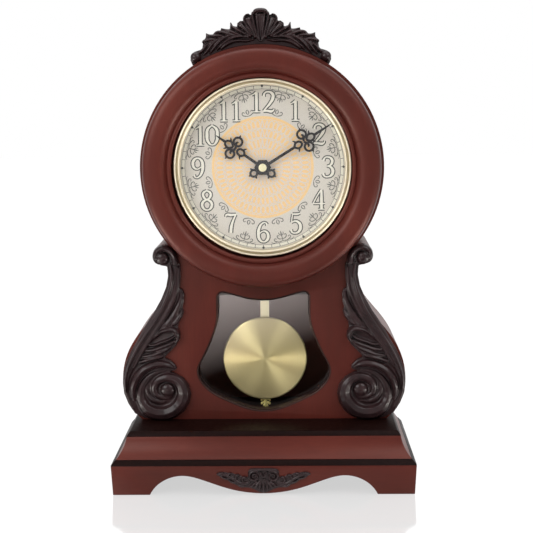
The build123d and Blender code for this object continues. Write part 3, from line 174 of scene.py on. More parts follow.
APRON_LEAVES = (
    ((0.0, 21.4, 1.1), (6.0, 21.4, 1.2), (10.5, 20.9, 1.1), (12.0, 19.4, 0.7)),
    ((4.6, 19.9, 0.9), (8.8, 19.6, 1.0), (11.4, 17.0, 1.0), (10.8, 13.8, 1.0), (8.0, 12.4, 1.0), (5.3, 13.7, 0.9),
     (5.1, 16.3, 0.8), (7.1, 17.6, 0.8), (8.9, 16.6, 0.7), (8.6, 15.0, 0.7), (7.5, 15.0, 0.7)),
    ((3.0, 19.6, 0.8), (1.4, 17.0, 0.9), (0.2, 14.8, 0.8)),
    ((1.3, 13.4, 0.7), (2.8, 8.5, 1.2), (3.4, 4.4, 0.9)),
    ((2.5, 12.6, 0.7), (5.6, 8.6, 1.2), (7.2, 6.0, 0.8)),
    ((5.0, 11.4, 0.8), (8.2, 9.4, 1.1), (10.6, 7.2, 0.7)),
    ((11.0, 11.6, 1.1), (16.5, 9.8, 1.4), (21.5, 11.8, 1.4), (27.2, 15.2, 1.3), (33.0, 17.1, 1.1),
     (37.6, 17.3, 0.6)),
    ((13.8, 14.2, 0.6), (15.6, 15.0, 1.0), (17.1, 13.0, 1.1), (16.0, 10.7, 0.8)),
    ((19.4, 16.5, 0.6), (21.4, 16.7, 1.0), (22.5, 14.2, 1.1), (21.0, 11.7, 0.8)),
    ((25.7, 18.0, 0.6), (27.8, 18.0, 1.0), (28.4, 15.7, 1.0), (26.8, 13.8, 0.7)),
    ((32.0, 18.7, 0.6), (35.0, 18.5, 0.9), (37.6, 17.8, 0.5)),
    ((13.6, 8.3, 0.5), (18.0, 7.6, 1.1), (21.4, 9.3, 0.9)),
    ((21.4, 9.9, 0.7), (25.2, 10.9, 1.0), (28.6, 13.0, 0.7)),
    ((28.2, 13.4, 0.6), (31.6, 14.2, 0.9), (35.0, 15.9, 0.6)),
)
APRON_MIDDLE = ((0.0, 2.2, 0.7), (0.0, 8.0, 1.4), (0.0, 13.8, 1.0))
APRON_GROUND = (
    (0.0, 1.8), (3.8, 2.6), (7.8, 4.9), (11.6, 6.1), (17.4, 6.5), (23.2, 9.0), (29.0, 12.5), (35.4, 15.4),
    (38.2, 17.7), (36.0, 19.2), (32.0, 19.4), (29.0, 18.8), (25.7, 18.8), (22.8, 17.5), (19.4, 17.3),
    (17.4, 15.6), (14.6, 15.7), (12.4, 15.0), (12.6, 19.0), (11.4, 21.6), (0.0, 22.2),
)
NUMERAL_HEIGHT = 16.0
DIGITS = {
    "0": (((0.0, 15.6, 0.6), (2.9, 12.6, 1.2), (3.4, 8.0, 1.4), (2.9, 3.4, 1.2), (0.0, 0.4, 0.6),
           (-2.9, 3.4, 1.2), (-3.4, 8.0, 1.4), (-2.9, 12.6, 1.2), (0.0, 15.6, 0.6)),),
    "1": (((0.4, 15.2, 1.2), (0.4, 8.0, 1.3), (0.4, 0.8, 1.2)),
          ((0.4, 15.4, 0.9), (-1.5, 13.8, 0.6), (-2.6, 13.2, 0.5)),
          ((-2.2, 0.3, 0.5), (0.4, 0.4, 0.7), (3.0, 0.3, 0.5))),
    "2": (((-3.0, 12.2, 1.1), (-2.4, 14.6, 0.8), (0.0, 15.7, 0.8), (2.8, 14.0, 1.3), (3.0, 11.0, 1.4),
           (1.2, 7.0, 1.1), (-1.4, 3.4, 0.8), (-3.3, 0.9, 0.6)),
          ((-3.3, 0.7, 0.7), (-1.0, 1.1, 1.0), (1.8, 0.6, 1.2), (3.4, 1.6, 0.7), (3.7, 3.0, 0.4))),
    "3": (((-2.9, 13.0, 1.1), (-1.8, 15.2, 0.7), (0.2, 15.7, 0.7), (2.6, 14.0, 1.2), (2.7, 11.0, 1.2),
           (1.4, 9.2, 0.8), (-0.6, 8.6, 0.5)),
          ((-0.6, 8.6, 0.5), (2.0, 7.8, 1.0), (3.3, 5.0, 1.4), (2.5, 1.8, 1.2), (0.0, 0.3, 0.7),
           (-2.3, 0.9, 0.8), (-3.1, 2.8, 1.1))),
    "4": (((1.4, 15.8, 0.7), (-1.6, 10.4, 0.6), (-4.0, 5.0, 0.6)),
          ((-4.0, 4.8, 0.6), (0.0, 4.8, 0.7), (3.8, 4.8, 0.6)),
          ((1.5, 15.6, 0.9), (1.5, 8.0, 1.3), (1.5, 0.6, 1.2)),
          ((-0.8, 0.3, 0.5), (1.5, 0.4, 0.6), (3.6, 0.3, 0.5))),
    "5": (((-2.0, 15.3, 0.7), (1.0, 15.2, 0.9), (3.1, 15.8, 0.6)),
          ((-2.0, 15.3, 0.6), (-2.4, 12.0, 0.6), (-2.7, 8.8, 0.6)),
          ((-2.7, 8.6, 0.6), (-0.4, 9.8, 0.8), (2.4, 8.2, 1.2), (3.2, 5.0, 1.4), (2.3, 1.8, 1.2),
           (0.0, 0.3, 0.7), (-2.3, 0.9, 0.8), (-3.1, 2.8, 1.1))),
    "6": (((2.5, 13.6, 1.0), (1.4, 15.5, 0.6), (-0.8, 14.8, 0.8), (-2.8, 11.0, 1.2), (-3.3, 6.4, 1.4),
           (-2.5, 2.2, 1.2), (0.0, 0.3, 0.7), (2.5, 2.0, 1.2), (3.2, 5.0, 1.3), (2.3, 7.9, 1.0),
           (0.2, 8.9, 0.6), (-2.4, 7.2, 0.6)),),
    "7": (((-3.4, 13.2, 0.5), (-3.0, 15.0, 0.9), (0.0, 14.9, 1.2), (3.4, 15.3, 0.8)),
          ((3.3, 15.2, 0.7), (1.5, 10.6, 0.9), (0.2, 5.4, 1.3), (-0.2, 0.8, 1.3))),
    "8": (((0.0, 15.7, 0.7), (2.3, 13.8, 1.1), (2.2, 10.8, 1.1), (0.0, 8.7, 0.8), (-2.2, 10.8, 1.1),
           (-2.3, 13.8, 1.1), (0.0, 15.7, 0.7)),
          ((0.0, 8.7, 0.8), (2.8, 6.4, 1.2), (3.0, 3.0, 1.2), (0.0, 0.3, 0.7), (-3.0, 3.0, 1.2),
           (-2.8, 6.4, 1.2), (0.0, 8.7, 0.8))),
}
DIGITS["9"] = tuple(
    tuple((-x, NUMERAL_HEIGHT - z, half_width) for x, z, half_width in line) for line in DIGITS["6"]
)
# Sprays between the numerals, as (across, outwards, half-width) points; all but the stalk are mirrored.
SPRAY_STALK = ((0.0, 62.8, 0.25), (0.0, 59.5, 0.35), (0.0, 56.4, 0.6), (0.0, 54.2, 0.2))
SPRAY_CURLS = (
    ((0.2, 62.4, 0.25), (3.0, 62.9, 0.35), (5.8, 61.8, 0.4), (7.0, 60.4, 0.35), (5.8, 59.4, 0.3),
     (5.0, 60.4, 0.25)),
    ((5.4, 62.6, 0.2), (8.0, 62.8, 0.3), (9.6, 61.6, 0.2)),
    ((0.2, 60.8, 0.25), (2.2, 60.6, 0.4), (3.8, 58.9, 0.4), (3.2, 57.4, 0.35), (2.0, 58.2, 0.25)),
    ((0.2, 58.0, 0.2), (1.6, 56.8, 0.4), (1.9, 55.2, 0.25)),
    ((0.0, 43.2, 0.25), (2.4, 43.8, 0.4), (4.6, 45.6, 0.4), (3.6, 47.2, 0.35), (2.4, 46.2, 0.25)),
    ((0.2, 44.6, 0.25), (1.1, 46.4, 0.45), (0.2, 48.6, 0.25)),
)
# Hands, as (across, outwards, half-width) points: a knot's from its own middle, a tail's from the dial's middle.
STEM_GAP, NEEDLE_FOOT = 10.4, 8.0
KNOT_LOZENGES = (
    ((0.0, -10.6, 0.95), (2.6, -7.2, 0.9), (0.0, -3.6, 0.95), (-2.6, -7.2, 0.9), (0.0, -10.6, 0.95)),
    ((0.0, 0.8, 0.95), (2.8, 4.6, 0.9), (0.0, 8.4, 0.9), (-2.8, 4.6, 0.9), (0.0, 0.8, 0.95)),
)
KNOT_SIDES = (
    ((2.3, 0.0, 0.95), (3.4, 2.6, 0.9), (5.9, 3.6, 0.9), (8.4, 2.4, 0.9), (9.3, -0.2, 0.9), (8.2, -2.6, 0.9),
     (5.8, -3.5, 0.9), (3.3, -2.5, 0.9), (2.3, 0.0, 0.95)),
    ((0.0, -1.4, 1.0), (1.4, -0.8, 1.0), (2.6, 0.0, 0.9), (4.6, 0.4, 0.95), (5.8, -0.6, 0.5)),
    ((8.6, 0.4, 0.9), (10.4, 0.9, 0.7), (11.4, 1.2, 0.3)),
    ((2.2, 4.6, 0.95), (4.2, 5.8, 0.7), (5.4, 6.8, 0.3)),
    ((2.2, -7.2, 0.95), (4.0, -8.2, 0.7), (5.2, -9.2, 0.3)),
)
TAIL_LINES = (
    ((0.0, -5.0, 0.95), (2.7, -8.2, 0.9), (0.0, -11.4, 0.95), (-2.7, -8.2, 0.9), (0.0, -5.0, 0.95)),
    ((0.0, -11.2, 0.9), (0.0, -13.4, 0.4)),
)
TAIL_SIDES = (((2.2, -8.2, 0.95), (3.8, -8.6, 0.95), (5.0, -8.9, 0.3)),)
# Arcs of the bezel's section: inset from its rim, depth behind its front, radius, first and last angle.
BEZEL_BEADS = ((3.9, 1.0, 1.0, 190, 300), (2.5, 0.2, 1.0, 150, 30), (0.9, 0.9, 0.9, 230, 360))
# Lobes of the finial, as (across, down from its top, half-width) points.
FINIAL_LOBES = (
    ((0.6, 3.2, 0.8), (2.2, 2.4, 1.1), (3.4, 3.0, 1.0), (3.9, 4.2, 0.6)),
    ((0.6, 5.2, 0.8), (2.2, 5.4, 1.1), (3.3, 6.2, 1.0), (3.6, 7.2, 0.5)),
    ((0.4, 6.6, 0.7), (1.5, 7.6, 0.8), (1.5, 8.8, 0.5)),
)

# Ridges of each carving: a line, then how far it stands off the ground and how high it rises, as shares of the
# carving's whole rise.
SCROLL_RIDGES = (
    (SCROLL_SHAFT, 0.0, 0.55), (SCROLL_BEAD, 0.42, 0.42), (SCROLL_LIP, 0.3, 0.3), (SCROLL_CURL, 0.0, 0.95),
    *((leaf, 0.0, 0.55) for leaf in SCROLL_LEAVES),
    (SCROLL_HOOD, 0.0, 1.0), (SCROLL_HOOK, 0.0, 1.0), (SCROLL_VOLUTE, 0.0, 1.0), (SCROLL_CRESCENT, 0.0, 0.3),
)
SCROLL_EYE_RISE = 0.62
CREST_RIDGES = (
    *((leaf, 0.0, 0.85) for leaf in CREST_LEAVES),
    *((lobe, 0.0, 0.8) for lobe in CREST_LOBES),
    *((rim, 0.35, 0.5) for rim in CREST_RIMS),
    (CREST_FLUTE, 0.3, 0.4),
)
CREST_SPINE = ((CREST_FACE, 0.0, 0.45), (CREST_ROLL, 0.0, 1.0))
APRON_RIDGES = tuple((leaf, 0.0, 1.0) for leaf in APRON_LEAVES)
APRON_SPINE = ((APRON_MIDDLE, 0.0, 1.0),)

# Sizes in mm. Boards of the carvings reach behind their seat by the sink, and are sawn off or buried there.
SCROLL_SINK, CREST_SINK, APRON_SINK = 1.0, 1.0, 2.5
CREST_SET_BACK = 0.8
EDGE_EASE, WINDOW_EASE = 0.5, 1.8
# The window lies within this distance of the middle, and between these heights.
WINDOW_REACH, WINDOW_SILL, WINDOW_HEAD = 60.0, PANEL_FOOT + 4.0, 170.0
# The print lies on the dial as a thin coat of ink.
INK = 0.03
PRINT_LEVEL = DIAL_FRONT - INK
NUMERAL_PITCH, NUMERAL_SPREAD, STROKE_THINNING = 10.2, 1.18, 0.15
TRACK_WIDTH, TRACK_LINE, TRACK_RUNG, TRACK_DOT, DOT_INSET = 2.6, 0.16, 0.24, 1.0, 0.2
ROSETTE_LINE, ROSETTE_RING = 0.42, 0.25
HAND_HALF_THICK, HUB_RADIUS = 0.25, 4.9
BEZEL_WIDTH, BEZEL_STEP = 4.9, 1.2
GROOVE_INSETS, GROOVE_DEPTH = (3.4, 1.6), 2.0
BOB_ROLL, BOB_RISE, BOB_SLOPE, BOB_DROP = 1.6, 0.05, 0.2, 0.6

# Points nearer than this are one point, and edges sharper than this stay sharp.
WELD = 0.001 * MM
SHARP = 35.0
# Sockets of the colour mix node: its factor, its two colours and its result.
MIX_SHARE, MIX_FIRST, MIX_SECOND, MIX_RESULT = 0, 6, 7, 2


def linear(hex_code):
    """Turn an sRGB hex colour into the linear colour that a shader reads."""
    channels = [int(hex_code[i : i + 2], 16) / 255 for i in (1, 3, 5)]
    return (*(c / 12.92 if c <= 0.04045 else ((c + 0.055) / 1.055) ** 2.4 for c in channels), 1.0)


def add_node(owner, kind, inputs=None, **settings):
    """Add a shader node with its settings; its inputs are set, or linked where a socket is given."""
    tree = owner.node_tree
    node = tree.nodes.new(kind)
    for name, value in settings.items():
        setattr(node, name, value)
    for name, value in (inputs or {}).items():
        if isinstance(value, bpy.types.NodeSocket):
            tree.links.new(value, node.inputs[name])
        else:
            node.inputs[name].default_value = value
    return node


def new_finish(name):
    """Start an empty material."""
    material = bpy.data.materials.new(name)
    material.use_nodes = True
    material.node_tree.nodes.clear()
    return material


def show(material, shader):
    """Join a shader to its material's output."""
    add_node(material, "ShaderNodeOutputMaterial", {"Surface": shader.outputs[0]})


def cloudy(material, size_mm, detail=2.0):
    """Return a noise socket whose blotches have this (x, y, z) size in mm, on Object coordinates."""
    place = add_node(material, "ShaderNodeTexCoord").outputs["Object"]
    scale = tuple(1 / (size * MM) for size in size_mm)
    scaled = add_node(material, "ShaderNodeMapping", {"Vector": place, "Scale": scale})
    noise = add_node(material, "ShaderNodeTexNoise", {"Vector": scaled.outputs[0], "Scale": 1.0, "Detail": detail})
    return noise.outputs["Fac"]


def shade_between(material, factor, stops):
    """Return a colour socket that blends hex colours at the given places along a factor."""
    ramp = add_node(material, "ShaderNodeValToRGB", {"Fac": factor})
    elements = ramp.color_ramp.elements
    while len(elements) < len(stops):
        elements.new(1.0)
    for element, (place, hex_code) in zip(elements, stops):
        element.position = place
        element.color = linear(hex_code)
    return ramp.outputs["Color"]


def spread(material, factor, low, high):
    """Return a number socket that runs from low to high over the middle of a noise factor."""
    ends = {"Value": factor, "From Min": 0.3, "From Max": 0.7, "To Min": low, "To Max": high}
    return add_node(material, "ShaderNodeMapRange", ends).outputs["Result"]


def relief(material, factor, depth_mm, strength):
    """Return a normal socket that raises a factor's bright parts by this depth in mm."""
    bump = {"Height": factor, "Distance": depth_mm * MM, "Strength": strength}
    return add_node(material, "ShaderNodeBump", bump).outputs["Normal"]


def gloss_mahogany(name, stain, along):
    """Mahogany, stained and lacquered: wide soft clouds in red brown, short dark pores, a deep even gloss."""
    material = new_finish(name)
    # Mahogany pores are some 0.2 mm wide; here 0.6 mm, so that they show.
    flame_width, flame_length, pore_width, pore_length = 42.0, 120.0, 0.6, 12.0
    flame = cloudy(material, [flame_length if axis == along else flame_width for axis in "xyz"], detail=3.0)
    pores = cloudy(material, [pore_length if axis == along else pore_width for axis in "xyz"])
    wood = shade_between(material, flame, ((0.3, stain[0]), (0.5, stain[1]), (0.7, stain[2])))
    pore_share = spread(material, pores, 0.22, 0.0)
    mix = {MIX_SHARE: pore_share, MIX_FIRST: wood, MIX_SECOND: linear(stain[3])}
    pored = add_node(material, "ShaderNodeMix", mix, data_type="RGBA")
    look = {
        "Base Color": pored.outputs[MIX_RESULT],
        "Roughness": spread(material, flame, 0.44, 0.38),
        "Normal": relief(material, pores, depth_mm=0.02, strength=0.1),
        "Specular IOR Level": 0.3,
        "Specular Tint": linear("#ffd0c4"),
        "Coat Weight": 0.04,
        "Coat Roughness": 0.2,
    }
    show(material, add_node(material, "ShaderNodeBsdfPrincipled", look))


def carved_mahogany(name):
    """Carved mahogany, dark glaze: the cuts go near black by ambient occlusion, which paints shade there along
    with the glaze, and the glaze is rubbed thin along the crests.
    """
    material = new_finish(name)
    tone = cloudy(material, (7.0, 7.0, 18.0), detail=3.0)
    wood = shade_between(material, tone, ((0.3, "#221617"), (0.55, "#2a1b1c"), (0.75, "#322122")))
    cut_reach = 5 * MM
    # Ambient occlusion blends near black into the cuts: painted shade, along with the dark glaze.
    cuts = add_node(material, "ShaderNodeAmbientOcclusion", {"Distance": cut_reach}, samples=8)
    unshaded_share = spread(material, cuts.outputs["AO"], 0.0, 1.0)
    mix = {MIX_SHARE: unshaded_share, MIX_FIRST: linear("#0d0606"), MIX_SECOND: wood}
    glazed_and_shaded = add_node(material, "ShaderNodeMix", mix, data_type="RGBA")
    look = {
        "Base Color": glazed_and_shaded.outputs[MIX_RESULT],
        "Roughness": spread(material, tone, 0.36, 0.28),
        "Normal": relief(material, cloudy(material, (0.8, 0.8, 9.0)), depth_mm=0.02, strength=0.2),
        "Specular IOR Level": 0.15,
        "Coat Weight": 0.22,
        "Coat Roughness": 0.09,
    }
    show(material, add_node(material, "ShaderNodeBsdfPrincipled", look))


def plain_finish(name, colours, roughness, grain_mm, depth_mm, metallic=0.0, specular=0.5):
    """A finish of two close colours in fine clouds, with a matching slight unevenness and shine.
    The size of its grain and the depth of its unevenness are in mm."""
    material = new_finish(name)
    grain = cloudy(material, (grain_mm,) * 3, detail=3.0)
    dullest, brightest = 1.12 * roughness, 0.9 * roughness
    look = {
        "Base Color": shade_between(material, grain, ((0.3, colours[0]), (0.7, colours[1]))),
        "Roughness": spread(material, grain, dullest, brightest),
        "Metallic": metallic,
        "Normal": relief(material, grain, depth_mm, strength=0.3),
        "Specular IOR Level": specular,
    }
    show(material, add_node(material, "ShaderNodeBsdfPrincipled", look))


def spun_brass(name):
    """Brass, turned on a lathe: fine rings round the middle draw the light out into fans."""
    material = new_finish(name)
    place = add_node(material, "ShaderNodeTexCoord").outputs["Object"]
    middle = (-BOB_CENTRE.x * MM, 0, -BOB_CENTRE.z * MM)
    centred = add_node(material, "ShaderNodeMapping", {"Vector": place, "Location": middle, "Scale": (1, 0, 1)})
    reach = add_node(material, "ShaderNodeVectorMath", {0: centred.outputs[0]}, operation="LENGTH")
    # Lathe rings are some 0.1 mm apart; here 0.5 mm, so that they show.
    ring_gap = 0.5 * MM
    rings = add_node(
        material, "ShaderNodeTexNoise", {"W": reach.outputs["Value"], "Scale": 1 / ring_gap}, noise_dimensions="1D"
    ).outputs["Fac"]
    tangent = add_node(material, "ShaderNodeTangent", direction_type="UV_MAP", uv_map="rings")
    look = {
        "Base Color": shade_between(material, rings, ((0.3, "#e2d098"), (0.7, "#ecdcac"))),
        "Metallic": 1.0,
        "Roughness": 0.38,
        "Anisotropic": 0.9,
        "Anisotropic Rotation": 0.25,
        "Normal": relief(material, rings, depth_mm=0.01, strength=0.2),
        "Tangent": tangent.outputs[0],
    }
    show(material, add_node(material, "ShaderNodeBsdfPrincipled", look))


def clear_glass(name):
    """Float glass: clear and thin, mirrors a little straight on and strongly at a slant."""
    material = new_finish(name)
    through = add_node(material, "ShaderNodeBsdfTransparent", {"Color": linear("#fdfefd")})
    mirror = add_node(material, "ShaderNodeBsdfGlossy", {"Color": linear("#ffffff"), "Roughness": 0.02})
    # Rays pass the sheet unbent, so its far face is given the inverse index to mirror like its near face.
    glass_index = 1.5
    inside = add_node(material, "ShaderNodeNewGeometry").outputs["Backfacing"]
    index = add_node(
        material, "ShaderNodeMapRange", {"Value": inside, "To Min": glass_index, "To Max": 1 / glass_index}
    )
    bend = add_node(material, "ShaderNodeFresnel", {"IOR": index.outputs["Result"]})
    shader = add_node(
        material, "ShaderNodeMixShader", {0: bend.outputs[0], 1: through.outputs[0], 2: mirror.outputs[0]}
    )
    show(material, shader)


def dress(finish, *nodes):
    """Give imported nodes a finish."""
    for node in nodes:
        slots = NODES[node].data.materials
        slots.clear()
        slots.append(bpy.data.materials[finish])


def publish(name, bm, finishes, node, replaced=(), crease=SHARP):
    """Make a bmesh a finished piece that rides with a node's body and stands for the replaced nodes."""
    bmesh.ops.remove_doubles(bm, verts=bm.verts, dist=WELD)
    bmesh.ops.recalc_face_normals(bm, faces=bm.faces)
    mesh = bpy.data.meshes.new(name)
    bm.to_mesh(mesh)
    bm.free()
    mesh.shade_smooth()
    mesh.set_sharp_from_angle(angle=radians(crease))
    for finish in finishes:
        mesh.materials.append(bpy.data.materials[finish])
    piece = bpy.data.objects.new(name, mesh)
    bpy.context.scene.collection.objects.link(piece)
    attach(piece, BODY_OF[node])
    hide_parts(*replaced)


def ridge(bm, line, level, rise, steps=6):
    """Add a round-backed ridge that follows a line of (across, up, half-width) points in mm.
    Its middle lies at this depth, and it rises in proportion to its width, most at its widest."""
    curve = bpy.data.curves.new("ridge", "CURVE")
    curve.dimensions = "3D"
    curve.bevel_depth = MM
    curve.bevel_resolution = 2
    curve.resolution_u = steps
    curve.use_fill_caps = True
    spline = curve.splines.new("BEZIER")
    spline.bezier_points.add(len(line) - 1)
    for point, (x, z, half_width) in zip(spline.bezier_points, line):
        point.co = (x * MM, 0.0, z * MM)
        point.radius = half_width
        point.handle_left_type = "AUTO"
        point.handle_right_type = "AUTO"
    carrier = bpy.data.objects.new("ridge", curve)
    mesh = bpy.data.meshes.new_from_object(carrier)
    widest = max(half_width for _, _, half_width in line)
    mesh.transform(Matrix.Translation((0, level * MM, 0)) @ Matrix.Diagonal((1, rise / widest, 1, 1)))
    bm.from_mesh(mesh)
    bpy.data.objects.remove(carrier)
    bpy.data.curves.remove(curve)
    bpy.data.meshes.remove(mesh)


def ridges(bm, table, level, rise):
    """Add a carving's ridges, each with its lift and rise as shares of the carving's rise."""
    for line, lift, share in table:
        ridge(bm, line, level - lift * rise, share * rise)


def dome(bm, place, level, rise):
    """Add a flattened ball at an (across, up, radius) place in mm."""
    x, z, radius = place
    shape = Matrix.Translation((x * MM, level * MM, z * MM)) @ Matrix.Diagonal((radius, rise, radius, 1))
    bmesh.ops.create_uvsphere(bm, u_segments=28, v_segments=16, radius=MM, matrix=shape)


def plate(bm, outline, back, front):
    """Add a flat board with this (across, up) outline in mm between two depths."""
    rim = [bm.verts.new((x * MM, back * MM, z * MM)) for x, z in outline]
    face = bm.faces.new(rim)
    raised = bmesh.ops.extrude_face_region(bm, geom=[face], use_keep_orig=True)["geom"]
    moved = [item for item in raised if isinstance(item, bmesh.types.BMVert)]
    bmesh.ops.translate(bm, verts=moved, vec=(0, (front - back) * MM, 0))


def fuse(bm, voxel, rounds):
    """Fuse overlapping closed shapes into one skin, and soften the cuts between them."""
    mesh = bpy.data.meshes.new("fuse")
    bm.to_mesh(mesh)
    carrier = bpy.data.objects.new("fuse", mesh)
    bpy.context.scene.collection.objects.link(carrier)
    remesh = carrier.modifiers.new("Fuse", "REMESH")
    remesh.mode = "VOXEL"
    remesh.voxel_size = voxel * MM
    depsgraph = bpy.context.evaluated_depsgraph_get()
    fused = bpy.data.meshes.new_from_object(carrier.evaluated_get(depsgraph))
    bm.clear()
    bm.from_mesh(fused)
    bpy.data.objects.remove(carrier)
    bpy.data.meshes.remove(mesh)
    bpy.data.meshes.remove(fused)
    for _ in range(rounds):
        bmesh.ops.smooth_vert(bm, verts=bm.verts, factor=0.5, use_axis_x=True, use_axis_y=True, use_axis_z=True)


def flat_back(bm, depth):
    """Saw a carving off flat at this depth and close the cut."""
    everything = [*bm.verts, *bm.edges, *bm.faces]
    bmesh.ops.bisect_plane(bm, geom=everything, plane_co=(0, depth * MM, 0), plane_no=(0, 1, 0), clear_outer=True)
    bmesh.ops.holes_fill(bm, edges=[edge for edge in bm.edges if edge.is_boundary])


def both_ways(bm):
    """Add the mirror image of everything in a bmesh, left for right."""
    everything = [*bm.verts, *bm.edges, *bm.faces]
    bmesh.ops.mirror(bm, geom=everything, matrix=Matrix.Identity(4), merge_dist=-1, axis="X")


def finish_carving(name, bm, node, voxel, rounds, back=None):
    """Fuse a carving's parts, saw its back flat where a depth is given, and publish it for a node."""
    bmesh.ops.recalc_face_normals(bm, faces=bm.faces)
    fuse(bm, voxel, rounds)
    if back is not None:
        flat_back(bm, back)
    # The carved finish paints shade into the carving's cuts.
    publish(name, bm, ("Mahogany carved, dark glaze and painted shade",), node, (node,), crease=80)


def turned(bm, profile, centre, steps):
    """Turn a profile of (radius, depth) points in mm round an axis that runs front to back."""
    verts = [bm.verts.new(((centre.x + radius) * MM, y * MM, centre.z * MM)) for radius, y in profile]
    edges = [bm.edges.new(pair) for pair in zip(verts, verts[1:])]
    bmesh.ops.spin(
        bm,
        geom=[*verts, *edges],
        cent=(centre.x * MM, 0, centre.z * MM),
        axis=(0, 1, 0),
        angle=tau,
        steps=steps,
        use_merge=True,
    )


def arc(middle, radius, start, end, steps):
    """Return (radius, depth) points along an arc, with its angles in degrees from outwards towards the back."""
    turns = [radians(start + (end - start) * i / steps) for i in range(steps + 1)]
    return [(middle[0] + radius * cos(turn), middle[1] + radius * sin(turn)) for turn in turns]


def merged_copy(node):
    """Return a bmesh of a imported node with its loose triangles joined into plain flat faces."""
    bm = bmesh.new()
    bm.from_mesh(NODES[node].data)
    bmesh.ops.remove_doubles(bm, verts=bm.verts, dist=2 * WELD)
    bmesh.ops.dissolve_limit(bm, angle_limit=radians(0.5), verts=bm.verts, edges=bm.edges)
    return bm


def round_edges(bm, edges, width, segments, clamp):
    """Round these edges off by this width in mm, and return the new faces."""
    return bmesh.ops.bevel(
        bm, geom=edges, offset=width * MM, offset_type="OFFSET", segments=segments, profile=0.5, affect="EDGES",
        material=-1, clamp_overlap=clamp,
    )["faces"]


def in_window(vert):
    """Tell whether a point of the front panel lies at its window."""
    return abs(vert.co.x) < WINDOW_REACH * MM and WINDOW_SILL < vert.co.z / MM < WINDOW_HEAD


def on_dial(line, turn):
    """Turn a line of (across, outwards, half-width) points round the dial's middle, clockwise from the top."""
    c, s = cos(turn), sin(turn)
    return [
        (DIAL_CENTRE.x + out * s + across * c, DIAL_CENTRE.z + out * c - across * s, half_width)
        for across, out, half_width in line
    ]


def dial_ring(middle, half_width, swing=0.0, waves=24, shift=0.0):
    """Return a closed line round the dial, plain or swinging in and out."""
    turns = [(i + shift) * pi / waves for i in range(2 * waves + 1)]
    return [
        (
            DIAL_CENTRE.x + (middle + swing * (-1) ** i) * sin(turn),
            DIAL_CENTRE.z + (middle + swing * (-1) ** i) * cos(turn),
            half_width,
        )
        for i, turn in enumerate(turns)
    ]


def mirrored(line):
    """Return a line with its across values turned round."""
    return [(-x, z, half_width) for x, z, half_width in line]


class ClockCarvingSettings(PropertyGroup):
    """How deep and how fine the carvings are."""

    scroll_rise: FloatProperty(
        name="Scroll rise", description="Height of the scrolls' widest ridge", default=6.2 * MM, unit="LENGTH"
    )
    scroll_ground: FloatProperty(
        name="Scroll ground", description="Thickness of the board that the scrolls are cut from",
        default=3.4 * MM, unit="LENGTH",
    )
    crest_rise: FloatProperty(
        name="Crest rise", description="Height of the crest's widest ridge", default=4.2 * MM, unit="LENGTH"
    )
    apron_rise: FloatProperty(
        name="Apron rise", description="Height of the apron carving's ridges", default=2.0 * MM, unit="LENGTH"
    )
    grit: FloatProperty(
        name="Grit", description="Finest cut that the carvings keep", default=0.45 * MM, unit="LENGTH"
    )


class ClockDialSettings(PropertyGroup):
    """Sizes of the dial's print and hands."""

    numeral_radius: FloatProperty(
        name="Numeral radius", description="From the dial's middle to a numeral's middle",
        default=53.3 * MM, unit="LENGTH",
    )
    outline: FloatProperty(
        name="Numeral outline", description="Width of the dark line round a numeral",
        default=0.9 * MM, unit="LENGTH",
    )
    numeral_size: FloatProperty(
        name="Numeral size", description="Height of a numeral", default=16.8 * MM, unit="LENGTH"
    )
    track_radius: FloatProperty(
        name="Track radius", description="From the dial's middle to the track's outer line",
        default=66.4 * MM, unit="LENGTH",
    )
    rosette_radius: FloatProperty(
        name="Rosette radius", description="Radius of the gilt rosette", default=41.8 * MM, unit="LENGTH"
    )
    hour_angle: FloatProperty(
        name="Hour hand", description="Angle of the hour hand at rest", default=radians(305.0), subtype="ANGLE"
    )
    minute_angle: FloatProperty(
        name="Minute hand", description="Angle of the minute hand at rest", default=radians(58.0), subtype="ANGLE"
    )


class ClockStageSettings(PropertyGroup):
    """Where the camera stands and how bright the lamps are."""

    camera_place: FloatVectorProperty(
        name="Camera", description="Where the camera stands", default=(0.02216, -1.03995, 0.31649),
        subtype="TRANSLATION", unit="LENGTH",
    )
    camera_turn: FloatVectorProperty(
        name="Camera turn", description="Pitch, roll and yaw of the camera",
        default=(radians(90 - 7.626), radians(-0.55), radians(1.069)), subtype="EULER",
    )
    lens: FloatProperty(
        name="Lens", description="Focal length on a 36 mm wide sensor", default=83.97, unit="CAMERA"
    )
    key_power: FloatProperty(name="Key lamp", description="Power of the left lamp", default=10.0, unit="POWER")
    fill_power: FloatProperty(name="Fill lamp", description="Power of the right lamp", default=5.5, unit="POWER")
    top_power: FloatProperty(name="Top lamp", description="Power of the overhead lamp", default=5.0, unit="POWER")
    sheet_rise: FloatProperty(
        name="Light sheet", description="How fast the light sheet in front brightens, per metre", default=6.2,
        min=0.0,
    )
    side_rise: FloatProperty(
        name="Side sheets", description="How fast the light sheets at the sides brighten, per metre", default=52.0,
        min=0.0,
    )
    dim: FloatProperty(
        name="Room", description="Brightness of the room in front of the clock", default=0.47, min=0.0, max=1.0
    )


